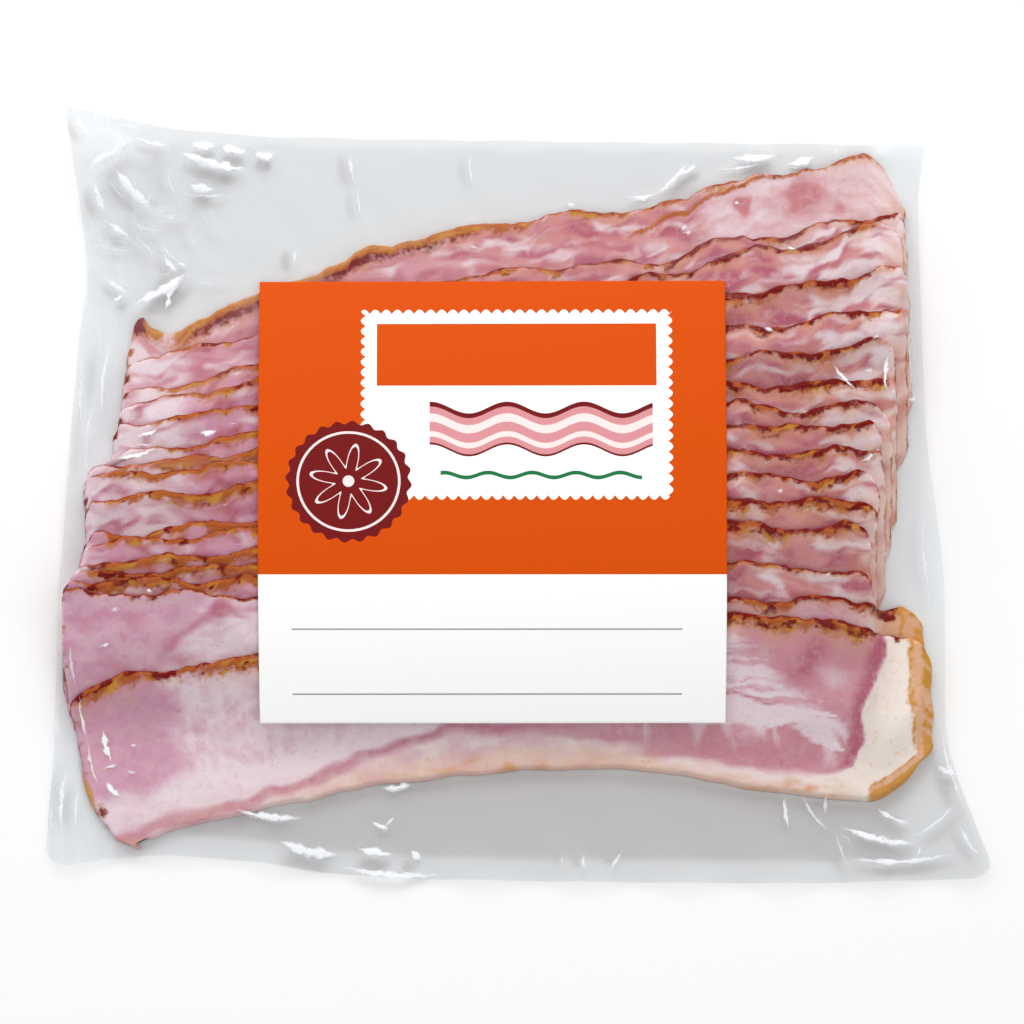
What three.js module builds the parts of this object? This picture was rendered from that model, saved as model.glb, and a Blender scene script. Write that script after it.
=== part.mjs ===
// A clear flat pouch of sliced bacon, lying label side up, in millimetres with +Z up.
// Front is -Y, left is -X. The origin is the centre of the pouch's outline, on the table.
import * as THREE from 'three';

const { clamp, lerp, smoothstep } = THREE.MathUtils;

// Outline of the pouch seen from above. Each edge is a smooth line through a few
// [along, across] points, and the two front corners are rounded.
const LEFT_EDGE = [
  [-105.4, -128.4], [-89, -127.6], [-73, -126.7], [-31, -126.4], [-8, -125.4],
  [23, -124], [46, -122.5], [61.5, -121], [77.4, -122.6], [109.5, -127.8],
];
const RIGHT_EDGE = [[-108.1, 130.1], [-64, 117.4], [-30, 118], [20, 114], [80, 113.3], [99.8, 115.5]];
const FRONT_EDGE = [
  [-128.4, -105.4], [-98.5, -102], [-74.2, -103.4], [-50, -106.8], [-20.9, -108.4],
  [10, -109], [70, -109.5], [130.1, -108.1],
];
const BACK_EDGE = [[-127.8, 109.5], [-105, 105.2], [-62, 102.2], [0, 101.2], [115.5, 99.8]];
const FRONT_CORNER_RADIUS = 7;

// Rashers overlap like shingles: the first lies on top at the front, the last at the bottom
// at the back. Each row gives the y of a rasher's back edge at EDGE_LEFT_X and EDGE_RIGHT_X.
const EDGE_LEFT_X = -90;
const EDGE_RIGHT_X = 75;
const RASHER_EDGES = [
  [-56, -40.6], [-32.6, -33.9], [-28.7, -26.2], [-25, -16.8],
  [-21, -8.9], [-17, -2.2], [-12.5, 5.4], [-6.1, 13.5],
  [1.5, 18.3], [6.8, 26], [12.7, 34.8], [19.5, 43.2],
  [26, 55.7], [35, 66.9], [41, 73.2], [49, 88.7],
];
const LAST_RASHER = RASHER_EDGES.length - 1;
const RASHER_THICKNESS_LEFT = 2;
const RASHER_THICKNESS_RIGHT = 2.9;
const RASHER_WIDTH_LEFT = 40;
const RASHER_WIDTH_RIGHT = 46;
const EDGE_WAVE_HEIGHT = 0.8;
const EDGE_WAVE_LENGTH = 29;
const EDGE_WAVE_STEP = 2.4;
const EDGE_SLOPE_MOST = 4.5;
const EDGE_SLOPE_LEAST = 0.4;
const END_CORNER_RADIUS = 10;
const LEFT_ROUNDING_SHARE = 0.5;
const END_SLOPE = 3.5;
const FRONT_SLOPE = 2.5;
const HIDDEN_EDGE_SLOPE = 14;
const FRONT_STEP_BACK = 5;
const FRONT_STEP_LIMIT = 30;

// Curves of the pile seen from above: the back edge of the last rasher, the front edge of
// the first rasher and the left ends of all of them. The first two reach further right.
const REAR_RASHER_EDGE = [
  [-128, 44], [-108.5, 48.5], [-72, 57.1], [-33, 71.7],
  [12, 79.9], [49, 86.4], [69, 88], [94, 96], [128, 99],
];
const FIRST_RASHER_FRONT = [
  [-128, -92], [-105, -99], [-70, -88.2], [-32, -78.6],
  [12, -75], [34, -78], [66, -84], [96, -87], [112, -77],
];
const PILE_LEFT = [
  [-98, -110], [-60, -120.5], [-42, -124.4], [-25, -122.7],
  [-4, -119], [15, -111.4], [60, -106],
];
const RIGHT_END = 110;
const RIGHT_END_SETBACK = 10;
const RIGHT_END_FULLEST = 11;
const TOP_RIGHT_ENDS = [114, 112];

// Film: how far it stands out round the pile, and the sealed margin it falls to.
const TENT_RINGS = [4, 8, 12];
const TENT_DIRECTIONS = 12;
const TENT_LIFTS_OFF = 2;
const MARGIN_THICKNESS = 0.9;
const MARGIN_LIFT = 1.4;
const FOLD_HEIGHT = 0.7;
const FOLD_LENGTH = 27;
const FOLD_SLANT = 0.6;
const RAISED_CORNER = [-127.8, 109.5];
const RAISED_CORNER_HEIGHT = 6.5;
const RAISED_CORNER_REACH = 26;
const SEAL_INSET = 6.5;
const SEAL_RIDGE_HEIGHT = 0.7;
const SEAL_RIDGE_REACH = 2;

// Label: a paper sheet that lies arched over the pile, higher on its right.
const LABEL = { left: -70.8, right: 57.3, front: -66, back: 58.5, thickness: 0.3 };
const LABEL_GAP = 0.35;
const LABEL_CREST = { y: -15, z: 16.4, frontDrop: 0.0033, backDrop: 0.0014 };
const LABEL_TILT = { slope: 0.02, twist: 0.0003, y: -20 };
const LABEL_FILM_REACH = 9;
const LABEL_FILM_FADE = 12;

// Mesh spacing.
const COLUMNS = 48;
const COLUMN_CROWDING = 0.5;
const FRONT_MARGIN_ROWS = 3;
const FACE_ROWS = 4;
const BACK_MARGIN_ROWS = 6;
const NARROWEST_MARGIN = 3;
const LABEL_STEPS = 36;

// A smooth line through [position, value] points that never overshoots them.
function smoothLine(points) {
  const slopes = points.slice(1).map((p, i) => (p[1] - points[i][1]) / (p[0] - points[i][0]));
  const tangents = points.map((p, i) => {
    const before = slopes[Math.max(i - 1, 0)];
    const after = slopes[Math.min(i, slopes.length - 1)];
    return before * after <= 0 ? 0 : (2 * before * after) / (before + after);
  });
  return (position) => {
    const at = clamp(position, points[0][0], points.at(-1)[0]);
    const next = points.findIndex((p, i) => i > 0 && at <= p[0]);
    const [x0, v0] = points[next - 1];
    const [x1, v1] = points[next];
    const width = x1 - x0;
    const t = (at - x0) / width;
    const ends = v0 * (1 + 2 * t) * (1 - t) ** 2 + v1 * t * t * (3 - 2 * t);
    return ends + width * (tangents[next - 1] * t * (1 - t) ** 2 + tangents[next] * t * t * (t - 1));
  };
}

const leftEdge = smoothLine(LEFT_EDGE);
const rightEdge = smoothLine(RIGHT_EDGE);
const frontEdge = smoothLine(FRONT_EDGE);
const backEdge = smoothLine(BACK_EDGE);
const rearRasherEdge = smoothLine(REAR_RASHER_EDGE);
const firstRasherFront = smoothLine(FIRST_RASHER_FRONT);
const pileLeft = smoothLine(PILE_LEFT);

const acrossPile = (x) => (x - EDGE_LEFT_X) / (EDGE_RIGHT_X - EDGE_LEFT_X);

function straightEdge(k, x) {
  const [left, right] = RASHER_EDGES[k];
  return lerp(left, right, acrossPile(x));
}

// Back edge of rasher k: a straight run, bent more and more like the last one, with a wave.
function rasherEdge(k, x) {
  const bend = rearRasherEdge(x) - straightEdge(LAST_RASHER, x);
  const wave = EDGE_WAVE_HEIGHT * Math.sin((2 * Math.PI * x) / EDGE_WAVE_LENGTH + EDGE_WAVE_STEP * k);
  return straightEdge(k, x) + bend * (k / LAST_RASHER) ** 2 + wave;
}

// Half the length of the slope at rasher k's back edge, less where the edges crowd.
function edgeReach(k, x) {
  const behind = k < LAST_RASHER ? rasherEdge(k + 1, x) - rasherEdge(k, x) : Infinity;
  const ahead = k > 0 ? rasherEdge(k, x) - rasherEdge(k - 1, x) : Infinity;
  return clamp(Math.min(behind, ahead), EDGE_SLOPE_LEAST, EDGE_SLOPE_MOST) / 4;
}

function rasherFront(k, x) {
  const first = firstRasherFront(x);
  if (k === 0) return first;
  const width = lerp(RASHER_WIDTH_LEFT, RASHER_WIDTH_RIGHT, clamp(acrossPile(x), 0, 1));
  return Math.max(rasherEdge(k, x) - width, first + Math.min(FRONT_STEP_BACK * k, FRONT_STEP_LIMIT));
}

function rasherRightEnd(k) {
  if (k < TOP_RIGHT_ENDS.length) return TOP_RIGHT_ENDS[k];
  return RIGHT_END - RIGHT_END_SETBACK * ((k - RIGHT_END_FULLEST) / (RIGHT_END_FULLEST - 2)) ** 2;
}

// How fully rasher k covers the point, 0 to 1, falling off over its edges and rounded ends.
function rasherCover(k, x, y) {
  const inward = rasherEdge(k, x) - y;
  const reach = edgeReach(k, x);
  const back = smoothstep(inward, -reach, reach);
  const front = smoothstep(y - rasherFront(k, x), 0, k === 0 ? FRONT_SLOPE : HIDDEN_EDGE_SLOPE);
  const corner = END_CORNER_RADIUS - clamp(inward, 0, END_CORNER_RADIUS);
  const rounding = END_CORNER_RADIUS - Math.sqrt(END_CORNER_RADIUS ** 2 - corner ** 2);
  const left = smoothstep(x - pileLeft(y) - LEFT_ROUNDING_SHARE * rounding, 0, END_SLOPE);
  const right = smoothstep(rasherRightEnd(k) - rounding - x, 0, END_SLOPE);
  return back * front * left * right;
}

function pileHeight(x, y) {
  const thickness = lerp(RASHER_THICKNESS_LEFT, RASHER_THICKNESS_RIGHT, clamp(acrossPile(x), 0, 1));
  const layers = RASHER_EDGES.reduce((sum, row, k) => sum + rasherCover(k, x, y), 0);
  return thickness * layers;
}

// Mean height of the pile on rings round the point: what holds the film up beside it.
function tentHeight(x, y) {
  let sum = 0;
  for (const radius of TENT_RINGS) {
    for (let i = 0; i < TENT_DIRECTIONS; i += 1) {
      const turn = (2 * Math.PI * i) / TENT_DIRECTIONS;
      sum += pileHeight(x + radius * Math.cos(turn), y + radius * Math.sin(turn));
    }
  }
  return sum / (TENT_RINGS.length * TENT_DIRECTIONS);
}

// Underside of the label: an arch along y, steeper in front, tilted and twisted along x.
function labelHeight(x, y) {
  const along = y - LABEL_CREST.y;
  const drop = along < 0 ? LABEL_CREST.frontDrop : LABEL_CREST.backDrop;
  const tilt = LABEL_TILT.slope + LABEL_TILT.twist * (y - LABEL_TILT.y);
  return LABEL_CREST.z - drop * along ** 2 + tilt * (x - LABEL.right);
}

// 1 under the label and a little past it, fading to 0 further out.
function underLabel(x, y) {
  const dx = Math.max(LABEL.left - x, x - LABEL.right, 0);
  const dy = Math.max(LABEL.front - y, y - LABEL.back, 0);
  return 1 - smoothstep(Math.hypot(dx, dy) - LABEL_FILM_REACH, 0, LABEL_FILM_FADE);
}

// Underside of the sealed margin: it lies just above the table in low folds, with a ridge
// along the front seal, and stands up at the raised corner.
function marginHeight(x, y) {
  const turn = (2 * Math.PI) / FOLD_LENGTH;
  const fold = Math.sin(turn * (x + FOLD_SLANT * y)) * Math.cos((turn * y) / 2);
  const away = Math.hypot(x - RAISED_CORNER[0], y - RAISED_CORNER[1]) / RAISED_CORNER_REACH;
  return MARGIN_LIFT + FOLD_HEIGHT * fold + RAISED_CORNER_HEIGHT * Math.exp(-away * away);
}

// Lower and upper height of the pouch: flat under the pile, and above it the film, which
// lies on the pile, falls to the margin beside it, and is drawn up to the label under it.
function pouchHeights(x, y) {
  const tent = tentHeight(x, y);
  const open = 1 - smoothstep(tent, 0, TENT_LIFTS_OFF);
  const bottom = open * marginHeight(x, y);
  const fromSeal = (y - frontEdge(x) - SEAL_INSET) / SEAL_RIDGE_REACH;
  const margin = bottom + MARGIN_THICKNESS + open * SEAL_RIDGE_HEIGHT * Math.exp(-fromSeal * fromSeal);
  const free = Math.max(pileHeight(x, y) + MARGIN_THICKNESS, tent + MARGIN_THICKNESS, margin);
  const held = labelHeight(x, y) - LABEL_GAP;
  return { bottom, top: Math.max(lerp(free, held, underLabel(x, y)), bottom + MARGIN_THICKNESS) };
}

// Draws a point near a front corner in onto a round corner.
function roundFrontCorner(x, y) {
  const cornerX = x < 0 ? leftEdge(y) : rightEdge(y);
  const side = Math.sign(cornerX);
  const a = 1 - (side * (cornerX - x)) / FRONT_CORNER_RADIUS;
  const b = 1 - (y - frontEdge(x)) / FRONT_CORNER_RADIUS;
  if (a <= 0 || b <= 0) return [x, y];
  const dx = a * (1 - Math.sqrt(1 - (b * b) / 2));
  const dy = b * (1 - Math.sqrt(1 - (a * a) / 2));
  return [x - side * FRONT_CORNER_RADIUS * dx, y + FRONT_CORNER_RADIUS * dy];
}

// The mesh rows, front to back, each as y along x: they follow the top and the foot of every
// rasher's edge, so that the steps of the pile stay crisp.
function meshRows() {
  const frontFoot = (x) => Math.max(firstRasherFront(x), frontEdge(x) + NARROWEST_MARGIN);
  const faceStart = (x) => frontFoot(x) + FRONT_SLOPE;
  const rows = [];
  for (let i = 0; i <= FRONT_MARGIN_ROWS; i += 1) {
    rows.push((x) => lerp(frontEdge(x), frontFoot(x), i / FRONT_MARGIN_ROWS));
  }
  for (let i = 0; i <= FACE_ROWS; i += 1) {
    rows.push((x) => lerp(faceStart(x), rasherEdge(0, x) - edgeReach(0, x), i / (FACE_ROWS + 1)));
  }
  for (let k = 0; k <= LAST_RASHER; k += 1) {
    rows.push((x) => rasherEdge(k, x) - edgeReach(k, x));
    rows.push((x) => rasherEdge(k, x) + edgeReach(k, x));
  }
  const rearFoot = rows.at(-1);
  for (let i = 1; i <= BACK_MARGIN_ROWS; i += 1) {
    rows.push((x) => lerp(rearFoot(x), backEdge(x), i / BACK_MARGIN_ROWS));
  }
  return rows;
}

// A closed solid between an upper and a lower sheet of rows by columns of points.
function closedSheets(upper, lower) {
  const lastRow = upper.length - 1;
  const lastColumn = upper[0].length - 1;
  const positions = [...upper.flat(2), ...lower.flat(2)];
  const index = [];
  const at = (sheet, row, column) => (sheet * (lastRow + 1) + row) * (lastColumn + 1) + column;
  const quad = (a, b, c, d) => index.push(a, b, c, a, c, d);
  for (let r = 0; r < lastRow; r += 1) {
    for (let c = 0; c < lastColumn; c += 1) {
      quad(at(0, r, c), at(0, r, c + 1), at(0, r + 1, c + 1), at(0, r + 1, c));
      quad(at(1, r, c), at(1, r + 1, c), at(1, r + 1, c + 1), at(1, r, c + 1));
    }
    quad(at(0, r + 1, 0), at(1, r + 1, 0), at(1, r, 0), at(0, r, 0));
    quad(at(0, r, lastColumn), at(1, r, lastColumn), at(1, r + 1, lastColumn), at(0, r + 1, lastColumn));
  }
  for (let c = 0; c < lastColumn; c += 1) {
    quad(at(0, 0, c), at(1, 0, c), at(1, 0, c + 1), at(0, 0, c + 1));
    quad(at(0, lastRow, c + 1), at(1, lastRow, c + 1), at(1, lastRow, c), at(0, lastRow, c));
  }
  const geometry = new THREE.BufferGeometry();
  geometry.setAttribute('position', new THREE.Float32BufferAttribute(positions, 3));
  geometry.setIndex(index);
  geometry.computeVertexNormals();
  return geometry;
}

function columnShare(column) {
  const even = column / (COLUMNS - 1);
  return lerp(even, 0.5 - 0.5 * Math.cos(Math.PI * even), COLUMN_CROWDING);
}

// Plan position of a mesh point: on its row, at its share of the width at that row.
function pouchPoint(row, column) {
  const share = columnShare(column);
  let x = lerp(leftEdge(0), rightEdge(0), share);
  for (let pass = 0; pass < 3; pass += 1) {
    x = lerp(leftEdge(row(x)), rightEdge(row(x)), share);
  }
  return roundFrontCorner(x, row(x));
}

function bagGeometry() {
  const upper = [];
  const lower = [];
  for (const row of meshRows()) {
    const points = Array.from({ length: COLUMNS }, (_, column) => pouchPoint(row, column));
    const heights = points.map(([x, y]) => pouchHeights(x, y));
    upper.push(points.map(([x, y], i) => [x, y, heights[i].top]));
    lower.push(points.map(([x, y], i) => [x, y, heights[i].bottom]));
  }
  return closedSheets(upper, lower);
}

function labelGeometry() {
  const sheet = (lift) =>
    Array.from({ length: LABEL_STEPS + 1 }, (_, step) => {
      const y = lerp(LABEL.front, LABEL.back, step / LABEL_STEPS);
      return [LABEL.left, LABEL.right].map((x) => [x, y, labelHeight(x, y) + lift]);
    });
  return closedSheets(sheet(LABEL.thickness), sheet(0));
}

function namedMesh(name, geometry, material) {
  const mesh = new THREE.Mesh(geometry, new THREE.MeshStandardMaterial(material));
  mesh.name = name;
  return mesh;
}

const pack = new THREE.Group();
pack.add(namedMesh('bag', bagGeometry(), { color: 0xc492a4, roughness: 0.25, metalness: 0 }));
pack.add(namedMesh('label', labelGeometry(), { color: 0xeb5c14, roughness: 0.5, metalness: 0 }));

export default pack;
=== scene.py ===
"""Flat clear pouch of sliced bacon under a paper label, dressed over its CAD frame.

Laid out as an add-on and run as a script. Shapes are worked out in millimetres, in the CAD's own frame: x runs along
the rashers, y away from the viewer and z up out of the label. They go into the meshes in metres.
"""

import math

import bpy
import numpy as np
from bpy.props import FloatProperty, FloatVectorProperty, PointerProperty
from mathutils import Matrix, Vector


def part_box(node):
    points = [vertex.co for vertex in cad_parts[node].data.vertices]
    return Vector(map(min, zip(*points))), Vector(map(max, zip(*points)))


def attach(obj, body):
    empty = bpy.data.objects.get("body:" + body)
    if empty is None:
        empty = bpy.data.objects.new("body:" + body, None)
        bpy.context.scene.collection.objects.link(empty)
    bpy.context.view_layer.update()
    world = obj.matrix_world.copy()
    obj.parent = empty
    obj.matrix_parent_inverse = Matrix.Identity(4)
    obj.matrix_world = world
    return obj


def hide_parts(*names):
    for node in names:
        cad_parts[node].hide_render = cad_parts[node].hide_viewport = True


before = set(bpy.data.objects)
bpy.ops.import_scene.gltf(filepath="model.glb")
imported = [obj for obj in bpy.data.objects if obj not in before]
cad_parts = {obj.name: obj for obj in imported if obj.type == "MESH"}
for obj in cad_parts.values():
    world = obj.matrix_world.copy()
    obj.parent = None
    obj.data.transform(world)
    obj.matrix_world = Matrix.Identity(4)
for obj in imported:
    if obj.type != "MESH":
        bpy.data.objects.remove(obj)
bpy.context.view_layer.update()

bl_info = {
    "name": "Bacon Pack",
    "version": (1, 0, 0),
    "blender": (4, 5, 0),
    "location": "View3D > Sidebar > Bacon Pack",
    "description": "Adds a clear pouch of bacon rashers with a paper label, on a white studio floor",
    "category": "Add Mesh",
}

MM = 0.001
BODY = "root"

# Outline of the pouch seen from above, each side as a smooth line through its points: left and right give x for y,
# front and back give y for x.
LEFT_EDGE = [
    (-105.4, -128.4), (-89, -127.6), (-73, -126.7), (-31, -126.4), (-8, -125.4), (23, -124), (46, -122.5), (61.5, -121),
    (77.4, -122.6), (109.5, -127.8),
]
RIGHT_EDGE = [(-108.1, 130.1), (-64, 117.4), (-30, 118), (20, 114), (80, 113.3), (99.8, 115.5)]
FRONT_EDGE = [
    (-128.4, -105.4), (-98.5, -102), (-74.2, -103.4), (-50, -106.8), (-20.9, -108.4), (10, -109), (70, -109.5),
    (130.1, -108.1),
]
BACK_EDGE = [(-127.8, 109.5), (-105, 105.2), (-62, 102.2), (0, 101.2), (115.5, 99.8)]
FRONT_CORNER_RADIUS = 7.0

# Back edges of the rashers. The front one, on top, has its own line; those under it, from front to rear, are given by
# their y near the left and right ends.
FIRST_RASHER_EDGE = [
    (-125, -60), (-119.7, -58.1), (-112.7, -54.7), (-105.6, -52.2), (-96.5, -52.6), (-89.4, -51.1), (-81.9, -49.7),
    (-70.7, -48.1), (0, -40), (56.8, -37.2), (72.2, -37.8), (88, -39.7), (99.1, -41.6), (116, -43),
]
EDGE_LEFT_X = -90.0
EDGE_RIGHT_X = 75.0
RASHER_EDGES = np.array([
    (-31.6, -33.2), (-27.6, -25.1), (-24.2, -14), (-20.8, -6.8), (-15.2, -0.3), (-12.4, 6.5), (-2.9, 14.2),
    (3.6, 19.5), (6.8, 26.4), (10.6, 35.2), (19, 44.1), (25.2, 54.3), (29.6, 66.4), (39, 70.6), (49, 88.7),
])
LAST = len(RASHER_EDGES)
EDGE_SWELL = 3.0
REAR_RASHER_EDGE = [
    (-128, 46), (-108.3, 49.2), (-105.5, 48.8), (-102.7, 46.4), (-98.5, 44), (-92.9, 47.2), (-84.5, 51.8),
    (-72.5, 56), (-33, 71.7), (12, 79.5), (40, 82), (46, 83.4), (54, 87.8), (61, 90.2), (76, 91), (92, 96.2), (98, 97),
    (103, 93.5), (109, 88),
]
FIRST_RASHER_FRONT = [
    (-128, -99), (-106, -101), (-102.5, -99.6), (-98.5, -97.2), (-94.1, -95.2), (-86.5, -93.2), (-79, -91.6),
    (-68.9, -89.4), (-32, -81.9), (12, -78.2), (34, -78.8), (66, -84), (96, -87), (112, -77),
]
PILE_LEFT = [
    (-100, -105), (-98.4, -108.2), (-95.5, -111), (-91, -114.3), (-87, -117), (-77.5, -119.1), (-66, -121.5),
    (-55, -123.6), (-44, -124.6), (-31, -124.2), (-22, -120), (-10, -118.4), (1.2, -119.9), (4.6, -118.6),
    (6.9, -112.3), (26, -111.3), (48, -108.3), (60, -107),
]
PILE_TO_FILM = 1.6
EDGE_WAVE_HEIGHT = 0.8
EDGE_WAVE_LENGTH = 29.0
EDGE_WAVE_STEP = 2.4
EDGE_RIPPLE_HEIGHT = 0.9
EDGE_RIPPLE_LENGTH = 6.5
EDGE_NICK_HEIGHT = 0.4
EDGE_NICK_LENGTH = 2.6
RASHER_WIDTH_LEFT = 40.0
RASHER_WIDTH_RIGHT = 46.0
FRONT_STEP_BACK = 5.0
FRONT_STEP_LIMIT = 30.0
# Right end of each rasher by its number.
RIGHT_ENDS = [
    (0, 114), (1, 112), (2, 97.5), (4, 99), (6, 101), (8, 103.3), (10, 106.2), (12, 109.3), (14, 109.4), (15, 109.4),
]
END_SHIFT = 1.3
BENT_FROM = -84.5
BENT_TO = 93.0
LEFT_CORNER_RADIUS = 4.0
RIGHT_CORNER_RADIUS = 8.0
RIM_ROUNDING = 1.3
HIDDEN_EDGE_SLOPE = 14.0
PILE_BASE = 0.5
PILE_LEAST = 0.3
RASHER_RELIEF = 0.14

# Spacing of the rashers' mesh lines, from a rim inwards and then even.
RIM_LINES = np.array([0.0, 0.15, 0.45, 0.9, 1.45])
COLUMN_STEP = 0.95
FINE_ROW_STEP = 0.6
COARSE_ROW_STEP = 3.0
FINE_ROWS_WIDTH = 17.0
WHOLE_FINE = 2

# Marks on the front rasher: the deep line along its front edge gives y for x, and so does the middle of its white
# tongue, whose strands meet beyond its tip. The width of cream fat along its front edge is given for x, and the left
# side of the cream block gives x for y.
DEEP_LINE = [
    (-112, -98.5), (-104, -96.8), (-97.6, -93.6), (-78.2, -88.8), (-67.2, -85.2), (-54, -80.4), (-40.8, -74.5),
    (-27.6, -69.9), (-14.5, -66.6), (0, -66.8), (36, -69.5),
]
TONGUE_LINE = [(20, -59), (57, -62.7), (69.6, -64.2), (78.5, -66.6), (88, -70.2)]
STRANDS_MEET = (92.0, -75.0)
CREAM_WIDTH = [(0, 9), (20, 6), (34, 4.2), (62, 5.6), (81, 6.5), (96, 9.5)]
BLOCK_SIDE = [(-86, 82), (-80.7, 85.2), (-77.8, 91.8), (-72.1, 95), (-64.7, 95.2), (-55.5, 97.5), (-45.2, 100.8)]

# Width of each rasher's crust along its back edge, near its left and right ends.
CRUST_WIDTHS = np.array([
    (4.8, 5.4), (1.0, 3.4), (4.6, 1.6), (4.4, 4.6), (5.2, 5.0), (3.6, 3.4), (4.2, 4.6), (4.2, 3.0),
    (3.2, 3.2), (5.0, 4.4), (3.0, 4.2), (2.6, 3.6), (2.8, 4.2), (2.8, 3.0), (1.6, 2.8), (7.5, 1.8),
])

# Least share of that width where the crust thins, by rasher, and how far in from their left ends the crust of the
# middle rashers, and of those from number 9 on, comes to its full width.
CRUST_LEAST = [0.7, 0.5, 0.7] + [0.5] * 7 + [0.35] * 5 + [0.8]
CRUST_STARTS = 2.0
CRUST_FULL = 13.0
REAR_CRUST_FULL = 22.0
REAR_CRUST_FROM = 9

# Soft round marks: centre x and y, reach along and across, turn and strength.
LEAN_DABS = [
    (-48.7, -70.9, 3.4, 1.5, 0.5, 1.0), (-40, -68.2, 5, 1.6, 0.35, 1.0), (-61, -74, 4.5, 1.4, 0.3, 0.6),
    (-72, -78.2, 3.2, 1.2, 0.6, 0.7),
]
LEAN_EYES = [
    (81, 84.5, 6.2, 6.0, 0.3, 1.0), (64, 81, 3.2, 2.8, 0.0, 1.0), (93, 80.5, 5.5, 2.6, 0.0, 0.6),
    (71, 75, 7, 2.0, 0.2, 0.5),
]
BROWN_SPOTS = [(74, -83.5, 13, 3, 0.0, 1.0), (-8, -77.6, 20, 2.4, 0.0, 1.0)]
BURNT_SPOTS = [
    [(103.6, -42.2, 2.6, 1.4, -0.8, 1.0), (-112.8, -89.8, 1.7, 2.8, 0.35, 0.9)],
    [(101.6, -36.4, 4.6, 1.7, -0.1, 0.9)],
]

# What each point of a rasher carries, from 0 to 1.
MEAT_SHARES = ("fat", "cream", "deep", "warm", "stain", "crust", "dark", "gold")

MEAT_GRAIN = 1.1
MEAT_MOTTLE = 3.0
MEAT_GLOSS = 0.06
MEAT_TO_CRUST_ROUGHNESS = (0.42, 0.55)

# How far inside the rearmost rasher's edge its second line of crust runs, for x.
REAR_CRUST_INSET = [(28, 9), (34.5, 7), (57, 3.3), (70, 1.5), (88, 0)]

MARGIN_LIFT = 1.2
FOLD_HEIGHT = 0.7
FOLD_LENGTH = 27.0
FOLD_SLANT = 0.6
RAISED_CORNER = (-127.8, 109.5)
RAISED_CORNER_HEIGHT = 6.5
RAISED_CORNER_REACH = 26.0
FILM_COLUMNS = 236
FILM_ROWS = 202
FILM_RELAX_ROUNDS = 70
FILM_UNDERSIDE = 0.12
FILM_SLACK = 0.4
FILM_EDGE_FLAT = 9.0
FACETS_REACH = 42.0
# Veil of the film: its plain haze, with painted reflection on the facets near the lifted corner as patches of whiter
# veil within a reach, and painted sheen in upright bands along the left pleats.
PAINTED_REFLECTION_REACH = 45.0
VEIL = 0.003
MARGIN_VEIL = 0.046
FACETS_PAINTED_REFLECTION = 0.12
PLEATS_PAINTED_SHEEN = 0.12
PLEATS_X = (-104.0, -112.0)
# Painted shade on the film, which greys its tint: painted shade over the back margin, the front right corner and the
# right margin, a painted shade band beside each crease, and the most that these may add up to. The front margin carries
# a painted shadow of the pile, lighter on the seal.
BACK_SHADE = 0.46
FRONT_RIGHT_SHADE = 0.5
RIGHT_SHADE = 0.2
CREASE_SHADE = 0.8
MOST_SHADE = 1.4
SEAL_WIDTH = 6.5
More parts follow.
